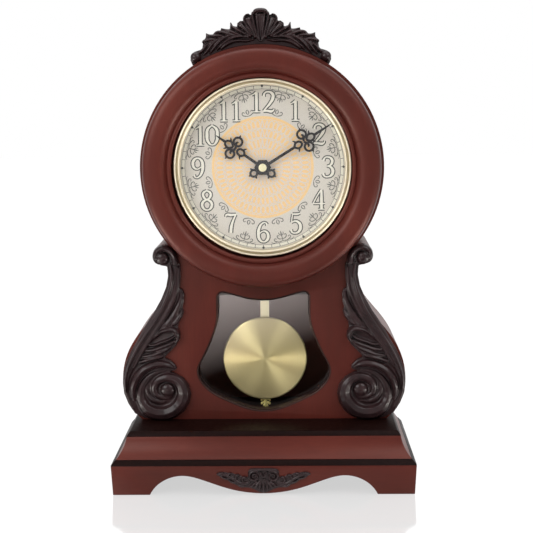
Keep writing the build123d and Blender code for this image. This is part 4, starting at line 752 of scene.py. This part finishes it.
class CLOCK_OT_finishes(Operator):
    """Mix the woods, metals, glass and plastics"""

    bl_idname = "clock.finishes"
    bl_label = "Mix Finishes"

    def execute(self, context):
        red = ("#411812", "#4c1c16", "#57231b", "#2d0f0b")
        black = ("#140807", "#1d0c0a", "#26100d", "#100605")
        gloss_mahogany("Mahogany upright, gloss lacquer", red, "z")
        gloss_mahogany("Mahogany level, gloss lacquer", red, "x")
        # The same wood stained nearly black, for the window's edge; its darkness there is partly the stain and
        # partly painted shade.
        gloss_mahogany("Mahogany edge, dark stain and painted shade", black, "z")
        # The carved finish darkens its cuts by ambient occlusion: painted shade, along with the glaze.
        carved_mahogany("Mahogany carved, dark glaze and painted shade")
        # Sprayed nitrocellulose lacquer: near black, with a slight orange peel in its shine.
        plain_finish("Wood lacquer, black gloss", ("#120605", "#180907"), 0.4, 3.0, 0.003, specular=0.05)
        # Hardboard with a brown foil: dull, with a faint wood tone.
        plain_finish("Hardboard, brown foil", ("#643222", "#723c2a"), 0.6, 1.2, 0.03)
        # Brass, polished and satin lacquered: pale champagne with soft hand marks.
        plain_finish("Brass, polished", ("#d8ccb2", "#dfd5be"), 0.4, 6.0, 0.001, 0.75)
        # Brass, matt turned: the floor of a groove, duller than the polished beads and painted darker as shade in
        # the groove.
        plain_finish("Brass, matt groove, painted shade", ("#9c8f72", "#a6997c"), 0.45, 2.0, 0.004, 1.0)
        # Brass, drawn and lacquered: pale straw, half matt.
        plain_finish("Brass, drawn strip", ("#efe4bd", "#f6edca"), 0.4, 2.0, 0.004, 0.65)
        # Brass, cast, tumbled and lacquered: bright yellow, with soft pits.
        plain_finish("Brass, cast", ("#f2e08e", "#f9ea9f"), 0.38, 1.0, 0.01, 0.5)
        # Brass, pressed from sheet: dull yellow, a little uneven in its shine.
        plain_finish("Brass, pressed hinge", ("#a98a4a", "#bb9c5a"), 0.36, 2.0, 0.02, 1.0)
        # Steel, zinc plated: cool pale grey with a faint spangle.
        plain_finish("Steel, zinc plated", ("#a9abae", "#c2c4c6"), 0.34, 1.5, 0.01, 1.0)
        spun_brass("Brass, spun")
        clear_glass("Float glass, clear")
        # Aluminium sheet, silver lacquered: bright but nearly matt, with a fine sparkle.
        plain_finish("Aluminium dial, silver lacquer", ("#c6bdb6", "#cec5be"), 0.5, 0.8, 0.004)
        # Screen-printed inks: flat and nearly matt, with the faint sparkle of the sheet below.
        plain_finish("Gilt print", ("#e2b880", "#e7c18c"), 0.5, 0.8, 0.004)
        plain_finish("Silver print", ("#cabdb8", "#d0c4be"), 0.5, 0.8, 0.004)
        plain_finish("Grey print", ("#5a5754", "#64615e"), 0.5, 0.8, 0.004)
        plain_finish("Black print", ("#201e1d", "#2a2827"), 0.5, 0.8, 0.004)
        plain_finish("Numeral print, dark line", ("#2b2926", "#34312e"), 0.5, 0.8, 0.004)
        plain_finish("Numeral print, pale", ("#dbd5cb", "#e2dcd3"), 0.45, 0.8, 0.004)
        # Stamped brass, black enamel: smooth and half matt.
        plain_finish("Hand brass, black enamel", ("#130c11", "#1a1217"), 0.45, 1.2, 0.004, specular=0.2)
        # Polystyrene, moulded: ivory white, half gloss.
        plain_finish("Polystyrene, white", ("#d9d2c2", "#e0dacb"), 0.42, 2.0, 0.01)
        # ABS, spark textured in the mould: dull black with a fine even grain.
        plain_finish("ABS, black moulded", ("#17181a", "#202124"), 0.55, 0.5, 0.03)
        # Acetal, moulded: milky white with a waxy shine.
        plain_finish("Acetal, natural white", ("#dcd9cf", "#e8e5dc"), 0.4, 1.5, 0.01)
        # Enamelled copper wire, wound close: red brown, finely broken in its shine.
        plain_finish("Copper winding, enamelled", ("#8a3f1e", "#b5602f"), 0.35, 0.25, 0.06, 0.8)
        # Glass-fibre board under solder mask: even dark green, half gloss.
        plain_finish("Circuit board, green mask", ("#0f3d22", "#16502d"), 0.4, 1.0, 0.01)
        # Shrink film on a cell: dark blue and glossy.
        plain_finish("Battery sleeve, shrink film", ("#1c2a4a", "#26365c"), 0.3, 2.0, 0.01)
        # Paper pressed wet: dull black with a rough felted grain.
        plain_finish("Cone paper, pressed", ("#18171a", "#242327"), 0.85, 0.6, 0.08)
        return {"FINISHED"}


class CLOCK_OT_case(Operator):
    """Finish the boards of the case and the base, and ease the window's edge"""

    bl_idname = "clock.case"
    bl_label = "Finish Case"

    def execute(self, context):
        upright, level = "Mahogany upright, gloss lacquer", "Mahogany level, gloss lacquer"
        dress(upright, "side_left", "side_right", "head_hoop", "dial_ring")
        dress(level, "base_rail_rear")
        dress("Hardboard, brown foil", "back_panel", "access_door")
        for node in ("base_apron_front", "base_side_left", "base_side_right", "base_cove_molding"):
            self.ease(node, level, "mahogany")
        for node in ("base_lower_lip", "base_upper_lip"):
            self.ease(node, "Wood lacquer, black gloss", "black_lacquer")
        self.ease_window(upright)
        return {"FINISHED"}

    def ease(self, node, finish, slot):
        """Take the sharpness off a board's edges, so that they catch a line of light."""
        bm = merged_copy(node)
        sharp = [edge for edge in bm.edges if edge.calc_face_angle(0.0) > radians(SHARP)]
        round_edges(bm, sharp, EDGE_EASE, segments=3, clamp=True)
        publish(node + "_eased", bm, (finish,), node, (node,))

    def ease_window(self, finish):
        """Round the front edge of the panel's window, and give the edge and the wall behind it a nearly black
        stain that also paints the shade there.
        """
        panel = merged_copy("front_panel")
        front, flat = PANEL_FRONT * MM, 10 * WELD
        # A corner turns by more than this angle, and a wall faces forwards by less than this share.
        corner_angle, wall_share = 1.0, 0.2
        window = [
            edge
            for edge in panel.edges
            if all(abs(vert.co.y - front) < flat and in_window(vert) for vert in edge.verts)
            and edge.calc_face_angle(0.0) > corner_angle
        ]
        eased = round_edges(panel, window, WINDOW_EASE, segments=4, clamp=False)
        wall = [
            face
            for face in panel.faces
            if abs(face.normal.y) < wall_share and all(in_window(vert) for vert in face.verts)
        ]
        # The eased edge and the window's wall take the near-black finish: partly the edge's stain, partly painted
        # shade.
        for face in (*eased, *wall):
            face.material_index = 1
        finishes = (finish, "Mahogany edge, dark stain and painted shade")
        publish("front_panel_eased", panel, finishes, "front_panel", ("front_panel",))


class CLOCK_OT_scrolls(Operator):
    """Carve the scroll at each side of the body"""

    bl_idname = "clock.scrolls"
    bl_label = "Carve Scrolls"

    def execute(self, context):
        sizes = context.scene.clock_carving
        rise, ground, grit = sizes.scroll_rise / MM, sizes.scroll_ground / MM, sizes.grit / MM
        level = PANEL_FRONT - ground
        for side, node in ((1, "scroll_right"), (-1, "scroll_left")):
            bm = bmesh.new()
            plate(bm, SCROLL_GROUND, PANEL_FRONT + SCROLL_SINK, level)
            ridges(bm, SCROLL_RIDGES, level, rise)
            for eye in SCROLL_EYES:
                dome(bm, eye, level, SCROLL_EYE_RISE * rise)
            bmesh.ops.scale(bm, vec=(side, 1, 1), verts=bm.verts)
            finish_carving(node + "_carved", bm, node, voxel=grit, rounds=2, back=PANEL_FRONT)
        return {"FINISHED"}


class CLOCK_OT_crest(Operator):
    """Carve the shell and leaves that crown the head"""

    bl_idname = "clock.crest"
    bl_label = "Carve Crest"

    def execute(self, context):
        sizes = context.scene.clock_carving
        rise, grit = sizes.crest_rise / MM, sizes.grit / MM
        level = PANEL_FRONT + CREST_SET_BACK
        bm = bmesh.new()
        plate(bm, CREST_GROUND, CREST_BACK + CREST_SINK, level)
        ridges(bm, CREST_RIDGES, level, rise)
        for place in CREST_DOMES:
            dome(bm, place, level, rise)
        both_ways(bm)
        ridges(bm, CREST_SPINE, level, rise)
        finish_carving("crest_carved", bm, "crest_carving", voxel=0.8 * grit, rounds=1, back=CREST_BACK)
        return {"FINISHED"}


class CLOCK_OT_apron_carving(Operator):
    """Carve the leaf spray in the middle of the apron"""

    bl_idname = "clock.apron_carving"
    bl_label = "Carve Apron Spray"

    def execute(self, context):
        sizes = context.scene.clock_carving
        rise, grit = sizes.apron_rise / MM, sizes.grit / MM
        bm = bmesh.new()
        plate(bm, APRON_GROUND, APRON_FACE + APRON_SINK, APRON_FACE)
        ridges(bm, APRON_RIDGES, APRON_FACE, rise)
        both_ways(bm)
        ridges(bm, APRON_SPINE, APRON_FACE, rise)
        finish_carving("apron_carved", bm, "apron_carving", voxel=0.7 * grit, rounds=1)
        return {"FINISHED"}


class CLOCK_OT_dial(Operator):
    """Print the dial: numerals, minute track, small sprays and a gilt rosette"""

    bl_idname = "clock.dial"
    bl_label = "Print Dial"

    def execute(self, context):
        sizes = context.scene.clock_dial
        dress("Aluminium dial, silver lacquer", "dial_plate", "dial_backing")
        self.print_numerals(sizes)
        self.print_track(sizes)
        self.print_sprays()
        self.print_rosette(sizes)
        return {"FINISHED"}

    def print_numerals(self, sizes):
        """Print the hours upright, pale with a dark line round them."""
        radius = sizes.numeral_radius / MM
        tall = sizes.numeral_size / MM / NUMERAL_HEIGHT
        wide = NUMERAL_SPREAD * tall
        for name, finish, grow, level in (
            ("dial_numeral_lines", "Numeral print, dark line", sizes.outline / MM, PRINT_LEVEL),
            ("dial_numerals", "Numeral print, pale", 0.0, PRINT_LEVEL - 2 * INK),
        ):
            bm = bmesh.new()
            for hour in range(1, 13):
                turn = hour * tau / 12
                digits = str(hour)
                for place, digit in enumerate(digits):
                    across = DIAL_CENTRE.x + radius * sin(turn) + (place - (len(digits) - 1) / 2) * NUMERAL_PITCH
                    foot = DIAL_CENTRE.z + radius * cos(turn) - tall * NUMERAL_HEIGHT / 2
                    for line in DIGITS[digit]:
                        stroke = [
                            (across + wide * x, foot + tall * z, half_width + grow - STROKE_THINNING)
                            for x, z, half_width in line
                        ]
                        ridge(bm, stroke, level, INK, steps=4)
            publish(name, bm, (finish,), "dial_plate")

    def print_track(self, sizes):
        """Print the minute track: a pale ladder with sixty rungs, and a dot at each hour."""
        radius = sizes.track_radius / MM
        pale = bmesh.new()
        ridge(pale, dial_ring(radius - TRACK_WIDTH / 2, TRACK_WIDTH / 2), PRINT_LEVEL + INK / 2, INK, steps=3)
        publish("dial_track_ground", pale, ("Numeral print, pale",), "dial_plate")
        bm = bmesh.new()
        for out in (radius - TRACK_WIDTH, radius):
            ridge(bm, dial_ring(out, TRACK_LINE), PRINT_LEVEL - INK, INK, steps=3)
        rung = ((0.0, radius - TRACK_WIDTH, TRACK_RUNG), (0.0, radius, TRACK_RUNG))
        for minute in range(60):
            ridge(bm, on_dial(rung, minute * tau / 60), PRINT_LEVEL - INK, INK, steps=1)
        publish("dial_track", bm, ("Grey print",), "dial_plate")
        dots = bmesh.new()
        for hour in range(12):
            place = on_dial(((0.0, radius - DOT_INSET, TRACK_DOT),), hour * tau / 12)[0]
            dome(dots, place, PRINT_LEVEL - 2 * INK, INK)
        publish("dial_dots", dots, ("Black print",), "dial_plate")

    def print_sprays(self):
        """Print a pendant of curls outside each two numerals, and a small spray inside them."""
        bm = bmesh.new()
        for hour in range(12):
            turn = (hour + 0.5) * tau / 12
            ridge(bm, on_dial(SPRAY_STALK, turn), PRINT_LEVEL, INK, steps=3)
            for line in SPRAY_CURLS:
                ridge(bm, on_dial(line, turn), PRINT_LEVEL, INK, steps=4)
                ridge(bm, on_dial(mirrored(line), turn), PRINT_LEVEL, INK, steps=4)
        publish("dial_sprays", bm, ("Grey print",), "dial_plate")

    def print_rosette(self, sizes):
        """Print a gilt disc with an engine-turned rosette of silver lines."""
        radius = sizes.rosette_radius / MM
        gilt = PRINT_LEVEL + INK / 2
        disc = bmesh.new()
        turned(disc, ((0.0, gilt), (radius, gilt), (radius, DIAL_FRONT)), DIAL_CENTRE, steps=96)
        publish("dial_rosette", disc, ("Gilt print",), "dial_plate")
        bm = bmesh.new()
        for middle, swing, waves in ((0.84, 0.08, 30), (0.66, 0.08, 24), (0.47, 0.09, 18), (0.26, 0.10, 12)):
            for shift in (0.0, 1.0):
                wave = dial_ring(middle * radius, ROSETTE_LINE, swing * radius, waves, shift)
                ridge(bm, wave, PRINT_LEVEL - INK, INK, steps=5)
        for out in (0.94, 0.75, 0.57, 0.37):
            ridge(bm, dial_ring(out * radius, ROSETTE_RING), PRINT_LEVEL - INK, INK, steps=3)
        publish("dial_rosette_lines", bm, ("Silver print",), "dial_plate")


class CLOCK_OT_hands(Operator):
    """Pierce and shape the two hands"""

    bl_idname = "clock.hands"
    bl_label = "Shape Hands"

    def execute(self, context):
        sizes = context.scene.clock_dial
        self.hand("hour_hand", sizes.hour_angle, knot=28.4, tip=46.0)
        self.hand("minute_hand", sizes.minute_angle, knot=41.2, tip=66.5)
        dress("Brass, drawn strip", "hand_cap")
        dress("Hand brass, black enamel", "fixing_nut")
        return {"FINISHED"}

    def hand(self, node, turn, knot, tip):
        """Cut one hand: hub, stem, a knot of open rings and lozenges, a needle and a short tail."""
        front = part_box(node)[0].y / MM + HAND_HALF_THICK
        needle = knot + NEEDLE_FOOT
        lines = [
            [(0.0, -4.0, 1.2), (0.0, 0.0, 1.3), (0.0, knot - STEM_GAP, 1.1)],
            [(0.0, needle, 1.2), (0.0, (needle + tip) / 2, 0.9), (0.0, tip, 0.3)],
            *([(x, knot + z, half_width) for x, z, half_width in line] for line in KNOT_LOZENGES),
            *TAIL_LINES,
        ]
        for side in (1, -1):
            for base, table in ((knot, KNOT_SIDES), (0.0, TAIL_SIDES)):
                lines += [[(side * x, base + z, half_width) for x, z, half_width in line] for line in table]
        bm = bmesh.new()
        for line in lines:
            ridge(bm, on_dial(line, turn), front, HAND_HALF_THICK)
        near, far = front - HAND_HALF_THICK, front + HAND_HALF_THICK
        turned(bm, ((0.0, near), (HUB_RADIUS, near), (HUB_RADIUS, far), (0.0, far)), DIAL_CENTRE, steps=40)
        bmesh.ops.recalc_face_normals(bm, faces=bm.faces)
        publish(node + "_pierced", bm, ("Hand brass, black enamel",), node, (node,))


class CLOCK_OT_bezel(Operator):
    """Turn the brass bezel round the dial, and set its lens"""

    bl_idname = "clock.bezel"
    bl_label = "Turn Bezel"

    def execute(self, context):
        low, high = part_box("bezel")
        front, back = low.y / MM, high.y / MM
        outer = (high.x - low.x) / 2 / MM
        inner = outer - BEZEL_WIDTH
        profile = [(inner, back), (inner, front + BEZEL_STEP)]
        for inset, depth, radius, start, end in BEZEL_BEADS:
            profile += arc((outer - inset, front + depth), radius, start, end, steps=8)
        profile += [(outer, back), (inner, back)]
        middle = (low + high) / 2 / MM
        bm = bmesh.new()
        turned(bm, profile, middle, steps=128)
        # Faces on the groove's floor take the darker brass: a matt finish, with shade painted in as a darker
        # colour.
        for face in bm.faces:
            place = face.calc_center_median() / MM
            reach = outer - Vector((place.x - middle.x, place.z - middle.z)).length
            if GROOVE_INSETS[0] > reach > GROOVE_INSETS[1] and place.y < front + GROOVE_DEPTH:
                face.material_index = 1
        finishes = ("Brass, polished", "Brass, matt groove, painted shade")
        publish("bezel_turned", bm, finishes, "bezel", ("bezel",))
        dress("Polystyrene, white", "dial_spacer_ring")
        dress("Float glass, clear", "dial_lens", "window_glass")
        return {"FINISHED"}


class CLOCK_OT_pendulum(Operator):
    """Spin the pendulum's bob, cast its finial and finish its rod"""

    bl_idname = "clock.pendulum"
    bl_label = "Spin Pendulum"

    def execute(self, context):
        self.spin_bob()
        self.cast_finial()
        dress("Brass, drawn strip", "pendulum_rod")
        dress("ABS, black moulded", "pendulum_yoke")
        return {"FINISHED"}

    def spin_bob(self):
        """Spin the bob: a shallow dome with a rolled edge."""
        low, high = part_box("pendulum_bob")
        front, back = low.y / MM, high.y / MM
        radius = (high.x - low.x) / 2 / MM
        profile = [
            (0.0, front + BOB_RISE),
            (radius * 0.5, front + BOB_SLOPE),
            *arc((radius - BOB_ROLL, front + BOB_DROP + BOB_ROLL), BOB_ROLL, 270, 450, steps=10),
            (0.0, back),
        ]
        bm = bmesh.new()
        turned(bm, profile, BOB_CENTRE, steps=128)
        bmesh.ops.remove_doubles(bm, verts=bm.verts, dist=WELD)
        self.map_rings(bm, radius)
        publish("pendulum_bob_spun", bm, ("Brass, spun",), "pendulum_bob", ("pendulum_bob",))

    def map_rings(self, bm, radius):
        """Lay a map whose across runs round the bob, so that its rings guide the shine."""
        rings = bm.loops.layers.uv.new("rings")
        at_middle = 0.01
        for face in bm.faces:
            middle = face.calc_center_median() / MM - BOB_CENTRE
            home = atan2(middle.z, middle.x)
            for loop in face.loops:
                place = loop.vert.co / MM - BOB_CENTRE
                reach = Vector((place.x, place.z)).length
                away = atan2(place.z, place.x) - home
                away = (away + pi) % tau - pi if reach > at_middle else 0.0
                loop[rings].uv = ((home + away) / tau, reach / radius)

    def cast_finial(self):
        """Cast the small leaf below the bob: a drop between three pairs of lobes."""
        low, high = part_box("pendulum_finial")
        middle, top, foot = (low.x + high.x) / 2 / MM, high.z / MM, low.z / MM
        depth = (low.y + high.y) / 2 / MM
        lobe_rise, drop_rise = 0.8, 1.3
        bm = bmesh.new()
        for lobe in FINIAL_LOBES:
            for side in (1, -1):
                line = [(middle + side * x, top - drop, half_width) for x, drop, half_width in lobe]
                ridge(bm, line, depth, lobe_rise)
        ridge(bm, [(middle, top, 1.4), (middle, top - 6.0, 1.5), (middle, foot, 0.4)], depth, drop_rise)
        publish("pendulum_finial_cast", bm, ("Brass, cast",), "pendulum_finial", ("pendulum_finial",))


class CLOCK_OT_works(Operator):
    """Finish the movement, the speaker, the hinges and the screws"""

    bl_idname = "clock.works"
    bl_label = "Finish Works"

    def execute(self, context):
        dress("ABS, black moulded", "movement_housing", "movement_cover", "chime_switch", "setting_knob",
              "speaker_frame", "drive_coil", "door_knob", "glass_clips")
        dress("Acetal, natural white", "third_wheel", "centre_wheel", "minute_wheel", "hour_wheel", "motor_rotor")
        dress("Copper winding, enamelled", "motor_coil")
        dress("Circuit board, green mask", "circuit_board")
        dress("Battery sleeve, shrink film", "batteries")
        dress("Cone paper, pressed", "speaker_cone")
        dress("Brass, pressed hinge", "hinge_leaves_case", "hinge_leaves_door", "hinge_pins")
        dress("Steel, zinc plated", "door_screws", "case_screws", "small_case_screws", "catch_magnet",
              "motor_stator", "battery_contacts", "pivot_pin", "drive_magnet")
        return {"FINISHED"}


class CLOCK_OT_stage(Operator):
    """Lay the pale floor, hang the lamps and stand the camera"""

    bl_idname = "clock.stage"
    bl_label = "Set Stage"

    def execute(self, context):
        sizes = context.scene.clock_stage
        context.scene.view_settings.view_transform = "Standard"
        self.stand_camera(context, sizes)
        self.lay_floor(context)
        self.lay_light(context, sizes)
        self.light_room(context, sizes)
        self.hang_lamp(context, "key_lamp", (-0.8, -0.9, 0.75), (0.9, 0.7), sizes.key_power)
        self.hang_lamp(context, "fill_lamp", (0.65, -0.6, 0.95), (0.8, 0.6), sizes.fill_power)
        self.hang_lamp(context, "top_lamp", (0.0, -0.1, 1.25), (0.9, 0.9), sizes.top_power)
        return {"FINISHED"}

    def stand_camera(self, context, sizes):
        """Stand the camera with its roll turned about its own line of sight."""
        lens = bpy.data.cameras.new("camera")
        lens.sensor_width = 36.0
        lens.lens = sizes.lens
        lens.clip_start, lens.clip_end = 0.01, 100.0
        camera = bpy.data.objects.new("camera", lens)
        pitch, roll, yaw = sizes.camera_turn
        turn = Matrix.Rotation(yaw, 4, "Z") @ Matrix.Rotation(pitch, 4, "X") @ Matrix.Rotation(roll, 4, "Z")
        camera.matrix_world = Matrix.Translation(sizes.camera_place) @ turn
        context.scene.collection.objects.link(camera)
        context.scene.camera = camera

    def lay_floor(self, context):
        """Lay a white gloss floor that keeps the clock's shadow and a faint mirror image."""
        glow_share, mirror_share, sink = 0.8, 0.32, -0.0002
        material = new_finish("Acrylic sheet, white")
        rays = add_node(material, "ShaderNodeLightPath").outputs
        seen = rays["Is Camera Ray"]
        for kind in ("Is Glossy Ray", "Is Transmission Ray"):
            seen = add_node(
                material, "ShaderNodeMath", {0: seen, 1: rays[kind]}, operation="ADD", use_clamp=True
            ).outputs[0]
        share = add_node(material, "ShaderNodeMath", {0: seen, 1: glow_share}, operation="MULTIPLY")
        matt = add_node(material, "ShaderNodeBsdfDiffuse", {"Color": linear("#f2f1f0")})
        glow = add_node(material, "ShaderNodeEmission", {"Color": linear("#ffffff"), "Strength": 1.12})
        white = add_node(
            material, "ShaderNodeMixShader", {0: share.outputs[0], 1: matt.outputs[0], 2: glow.outputs[0]}
        )
        shine = add_node(material, "ShaderNodeBsdfGlossy", {"Color": linear("#ffffff"), "Roughness": 0.09})
        shader = add_node(
            material, "ShaderNodeMixShader", {0: mirror_share, 1: white.outputs[0], 2: shine.outputs[0]}
        )
        show(material, shader)
        self.lay_sheet(context, "floor", material, (6.0, 6.0), (0.0, 0.0, sink))

    def lay_light(self, context, sizes):
        """Lay light sheets on the floor in front and at the sides, seen only in glass, brass and gloss: dark near
        the clock, brighter away from it."""
        lift = 0.0004
        for name, tint, way, dark, rise, half_size, place in (
            ("front", "#ffefeb", (-1.69, -1, 0), 0.495, sizes.sheet_rise, (0.3, 0.4), (0.0, -0.58, lift)),
            ("left", "#fffdf6", (-1, 0, 0), 0.15, sizes.side_rise, (0.16, 0.16), (-0.33, -0.24, lift)),
            ("right", "#fffdf6", (1, 0, 0), 0.15, sizes.side_rise, (0.16, 0.16), (0.33, -0.24, lift)),
        ):
            name = "light_sheet_" + name
            material = new_finish(name)
            spot = add_node(material, "ShaderNodeTexCoord").outputs["Object"]
            slope = add_node(material, "ShaderNodeVectorMath", {0: spot, 1: way}, operation="DOT_PRODUCT")
            grade = {"Value": slope.outputs["Value"], "From Min": dark, "From Max": dark + 1, "To Max": rise}
            strength = add_node(material, "ShaderNodeMapRange", grade).outputs["Result"]
            glow = add_node(material, "ShaderNodeEmission", {"Color": linear(tint), "Strength": strength})
            clear = add_node(material, "ShaderNodeBsdfTransparent")
            mirror_ray = add_node(material, "ShaderNodeLightPath").outputs["Is Glossy Ray"]
            below = add_node(material, "ShaderNodeNewGeometry").outputs["Backfacing"]
            share = add_node(
                material, "ShaderNodeMath", {0: mirror_ray, 1: below}, operation="SUBTRACT", use_clamp=True
            )
            shader = add_node(
                material, "ShaderNodeMixShader", {0: share.outputs[0], 1: clear.outputs[0], 2: glow.outputs[0]}
            )
            show(material, shader)
            material.cycles.emission_sampling = "NONE"
            self.lay_sheet(context, name, material, half_size, place)

    def lay_sheet(self, context, name, material, half_size, place):
        """Lay a flat sheet of this half width and half depth on the stage."""
        shape = Matrix.Translation(place) @ Matrix.Diagonal((*half_size, 1.0, 1.0))
        bm = bmesh.new()
        bmesh.ops.create_grid(bm, x_segments=1, y_segments=1, size=1.0, matrix=shape)
        mesh = bpy.data.meshes.new(name)
        bm.to_mesh(mesh)
        bm.free()
        mesh.materials.append(material)
        sheet = bpy.data.objects.new(name, mesh)
        context.scene.collection.objects.link(sheet)

    def light_room(self, context, sizes):
        """Make the room white to the camera and behind the clock, and dim in front of it."""
        world = bpy.data.worlds.new("studio")
        world.use_nodes = True
        world.node_tree.nodes.clear()
        way = add_node(world, "ShaderNodeTexCoord").outputs["Generated"]
        parts = add_node(world, "ShaderNodeSeparateXYZ", {0: way})
        fade = {"Value": parts.outputs["Y"], "From Min": -0.2, "From Max": 0.3, "To Min": sizes.dim, "To Max": 1.0}
        room = add_node(world, "ShaderNodeMapRange", fade, interpolation_type="SMOOTHSTEP")
        rays = add_node(world, "ShaderNodeLightPath").outputs
        strength = room.outputs[0]
        for kind in ("Is Camera Ray", "Is Transmission Ray"):
            strength = add_node(
                world, "ShaderNodeMath", {0: strength, 1: rays[kind]}, operation="MAXIMUM"
            ).outputs[0]
        glow = add_node(world, "ShaderNodeBackground", {"Color": linear("#ffffff"), "Strength": strength})
        add_node(world, "ShaderNodeOutputWorld", {"Surface": glow.outputs[0]})
        context.scene.world = world

    def hang_lamp(self, context, name, place, size, power):
        """Hang a softbox of this width and height that faces the clock's middle."""
        clock_middle = Vector((0, 0, 0.2))
        lamp = bpy.data.lights.new(name, "AREA")
        lamp.shape = "RECTANGLE"
        lamp.size, lamp.size_y = size
        lamp.energy = power
        holder = bpy.data.objects.new(name, lamp)
        towards = clock_middle - Vector(place)
        holder.matrix_world = Matrix.Translation(place) @ towards.to_track_quat("-Z", "Y").to_matrix().to_4x4()
        context.scene.collection.objects.link(holder)


class CLOCK_PT_sidebar(Panel):
    """Lists the steps and the sizes of the clock."""

    bl_idname = "CLOCK_PT_sidebar"
    bl_label = "Clock"
    bl_space_type = "VIEW_3D"
    bl_region_type = "UI"
    bl_category = "Clock"

    def draw(self, context):
        layout = self.layout
        for settings in (context.scene.clock_carving, context.scene.clock_dial, context.scene.clock_stage):
            box = layout.box()
            for name in settings.__annotations__:
                box.prop(settings, name)
        for step in STEPS:
            layout.operator(step.bl_idname)


STEPS = (
    CLOCK_OT_finishes,
    CLOCK_OT_case,
    CLOCK_OT_scrolls,
    CLOCK_OT_crest,
    CLOCK_OT_apron_carving,
    CLOCK_OT_dial,
    CLOCK_OT_hands,
    CLOCK_OT_bezel,
    CLOCK_OT_pendulum,
    CLOCK_OT_works,
    CLOCK_OT_stage,
)
SETTINGS = (
    ("clock_carving", ClockCarvingSettings),
    ("clock_dial", ClockDialSettings),
    ("clock_stage", ClockStageSettings),
)


def register():
    for name, group in SETTINGS:
        bpy.utils.register_class(group)
        setattr(bpy.types.Scene, name, PointerProperty(type=group))
    for step in (*STEPS, CLOCK_PT_sidebar):
        bpy.utils.register_class(step)


def unregister():
    for step in (CLOCK_PT_sidebar, *reversed(STEPS)):
        bpy.utils.unregister_class(step)
    for name, group in reversed(SETTINGS):
        delattr(bpy.types.Scene, name)
        bpy.utils.unregister_class(group)


def main():
    register()
    for step in STEPS:
        family, action = step.bl_idname.split(".")
        getattr(getattr(bpy.ops, family), action)()


if __name__ == "__main__":
    main()
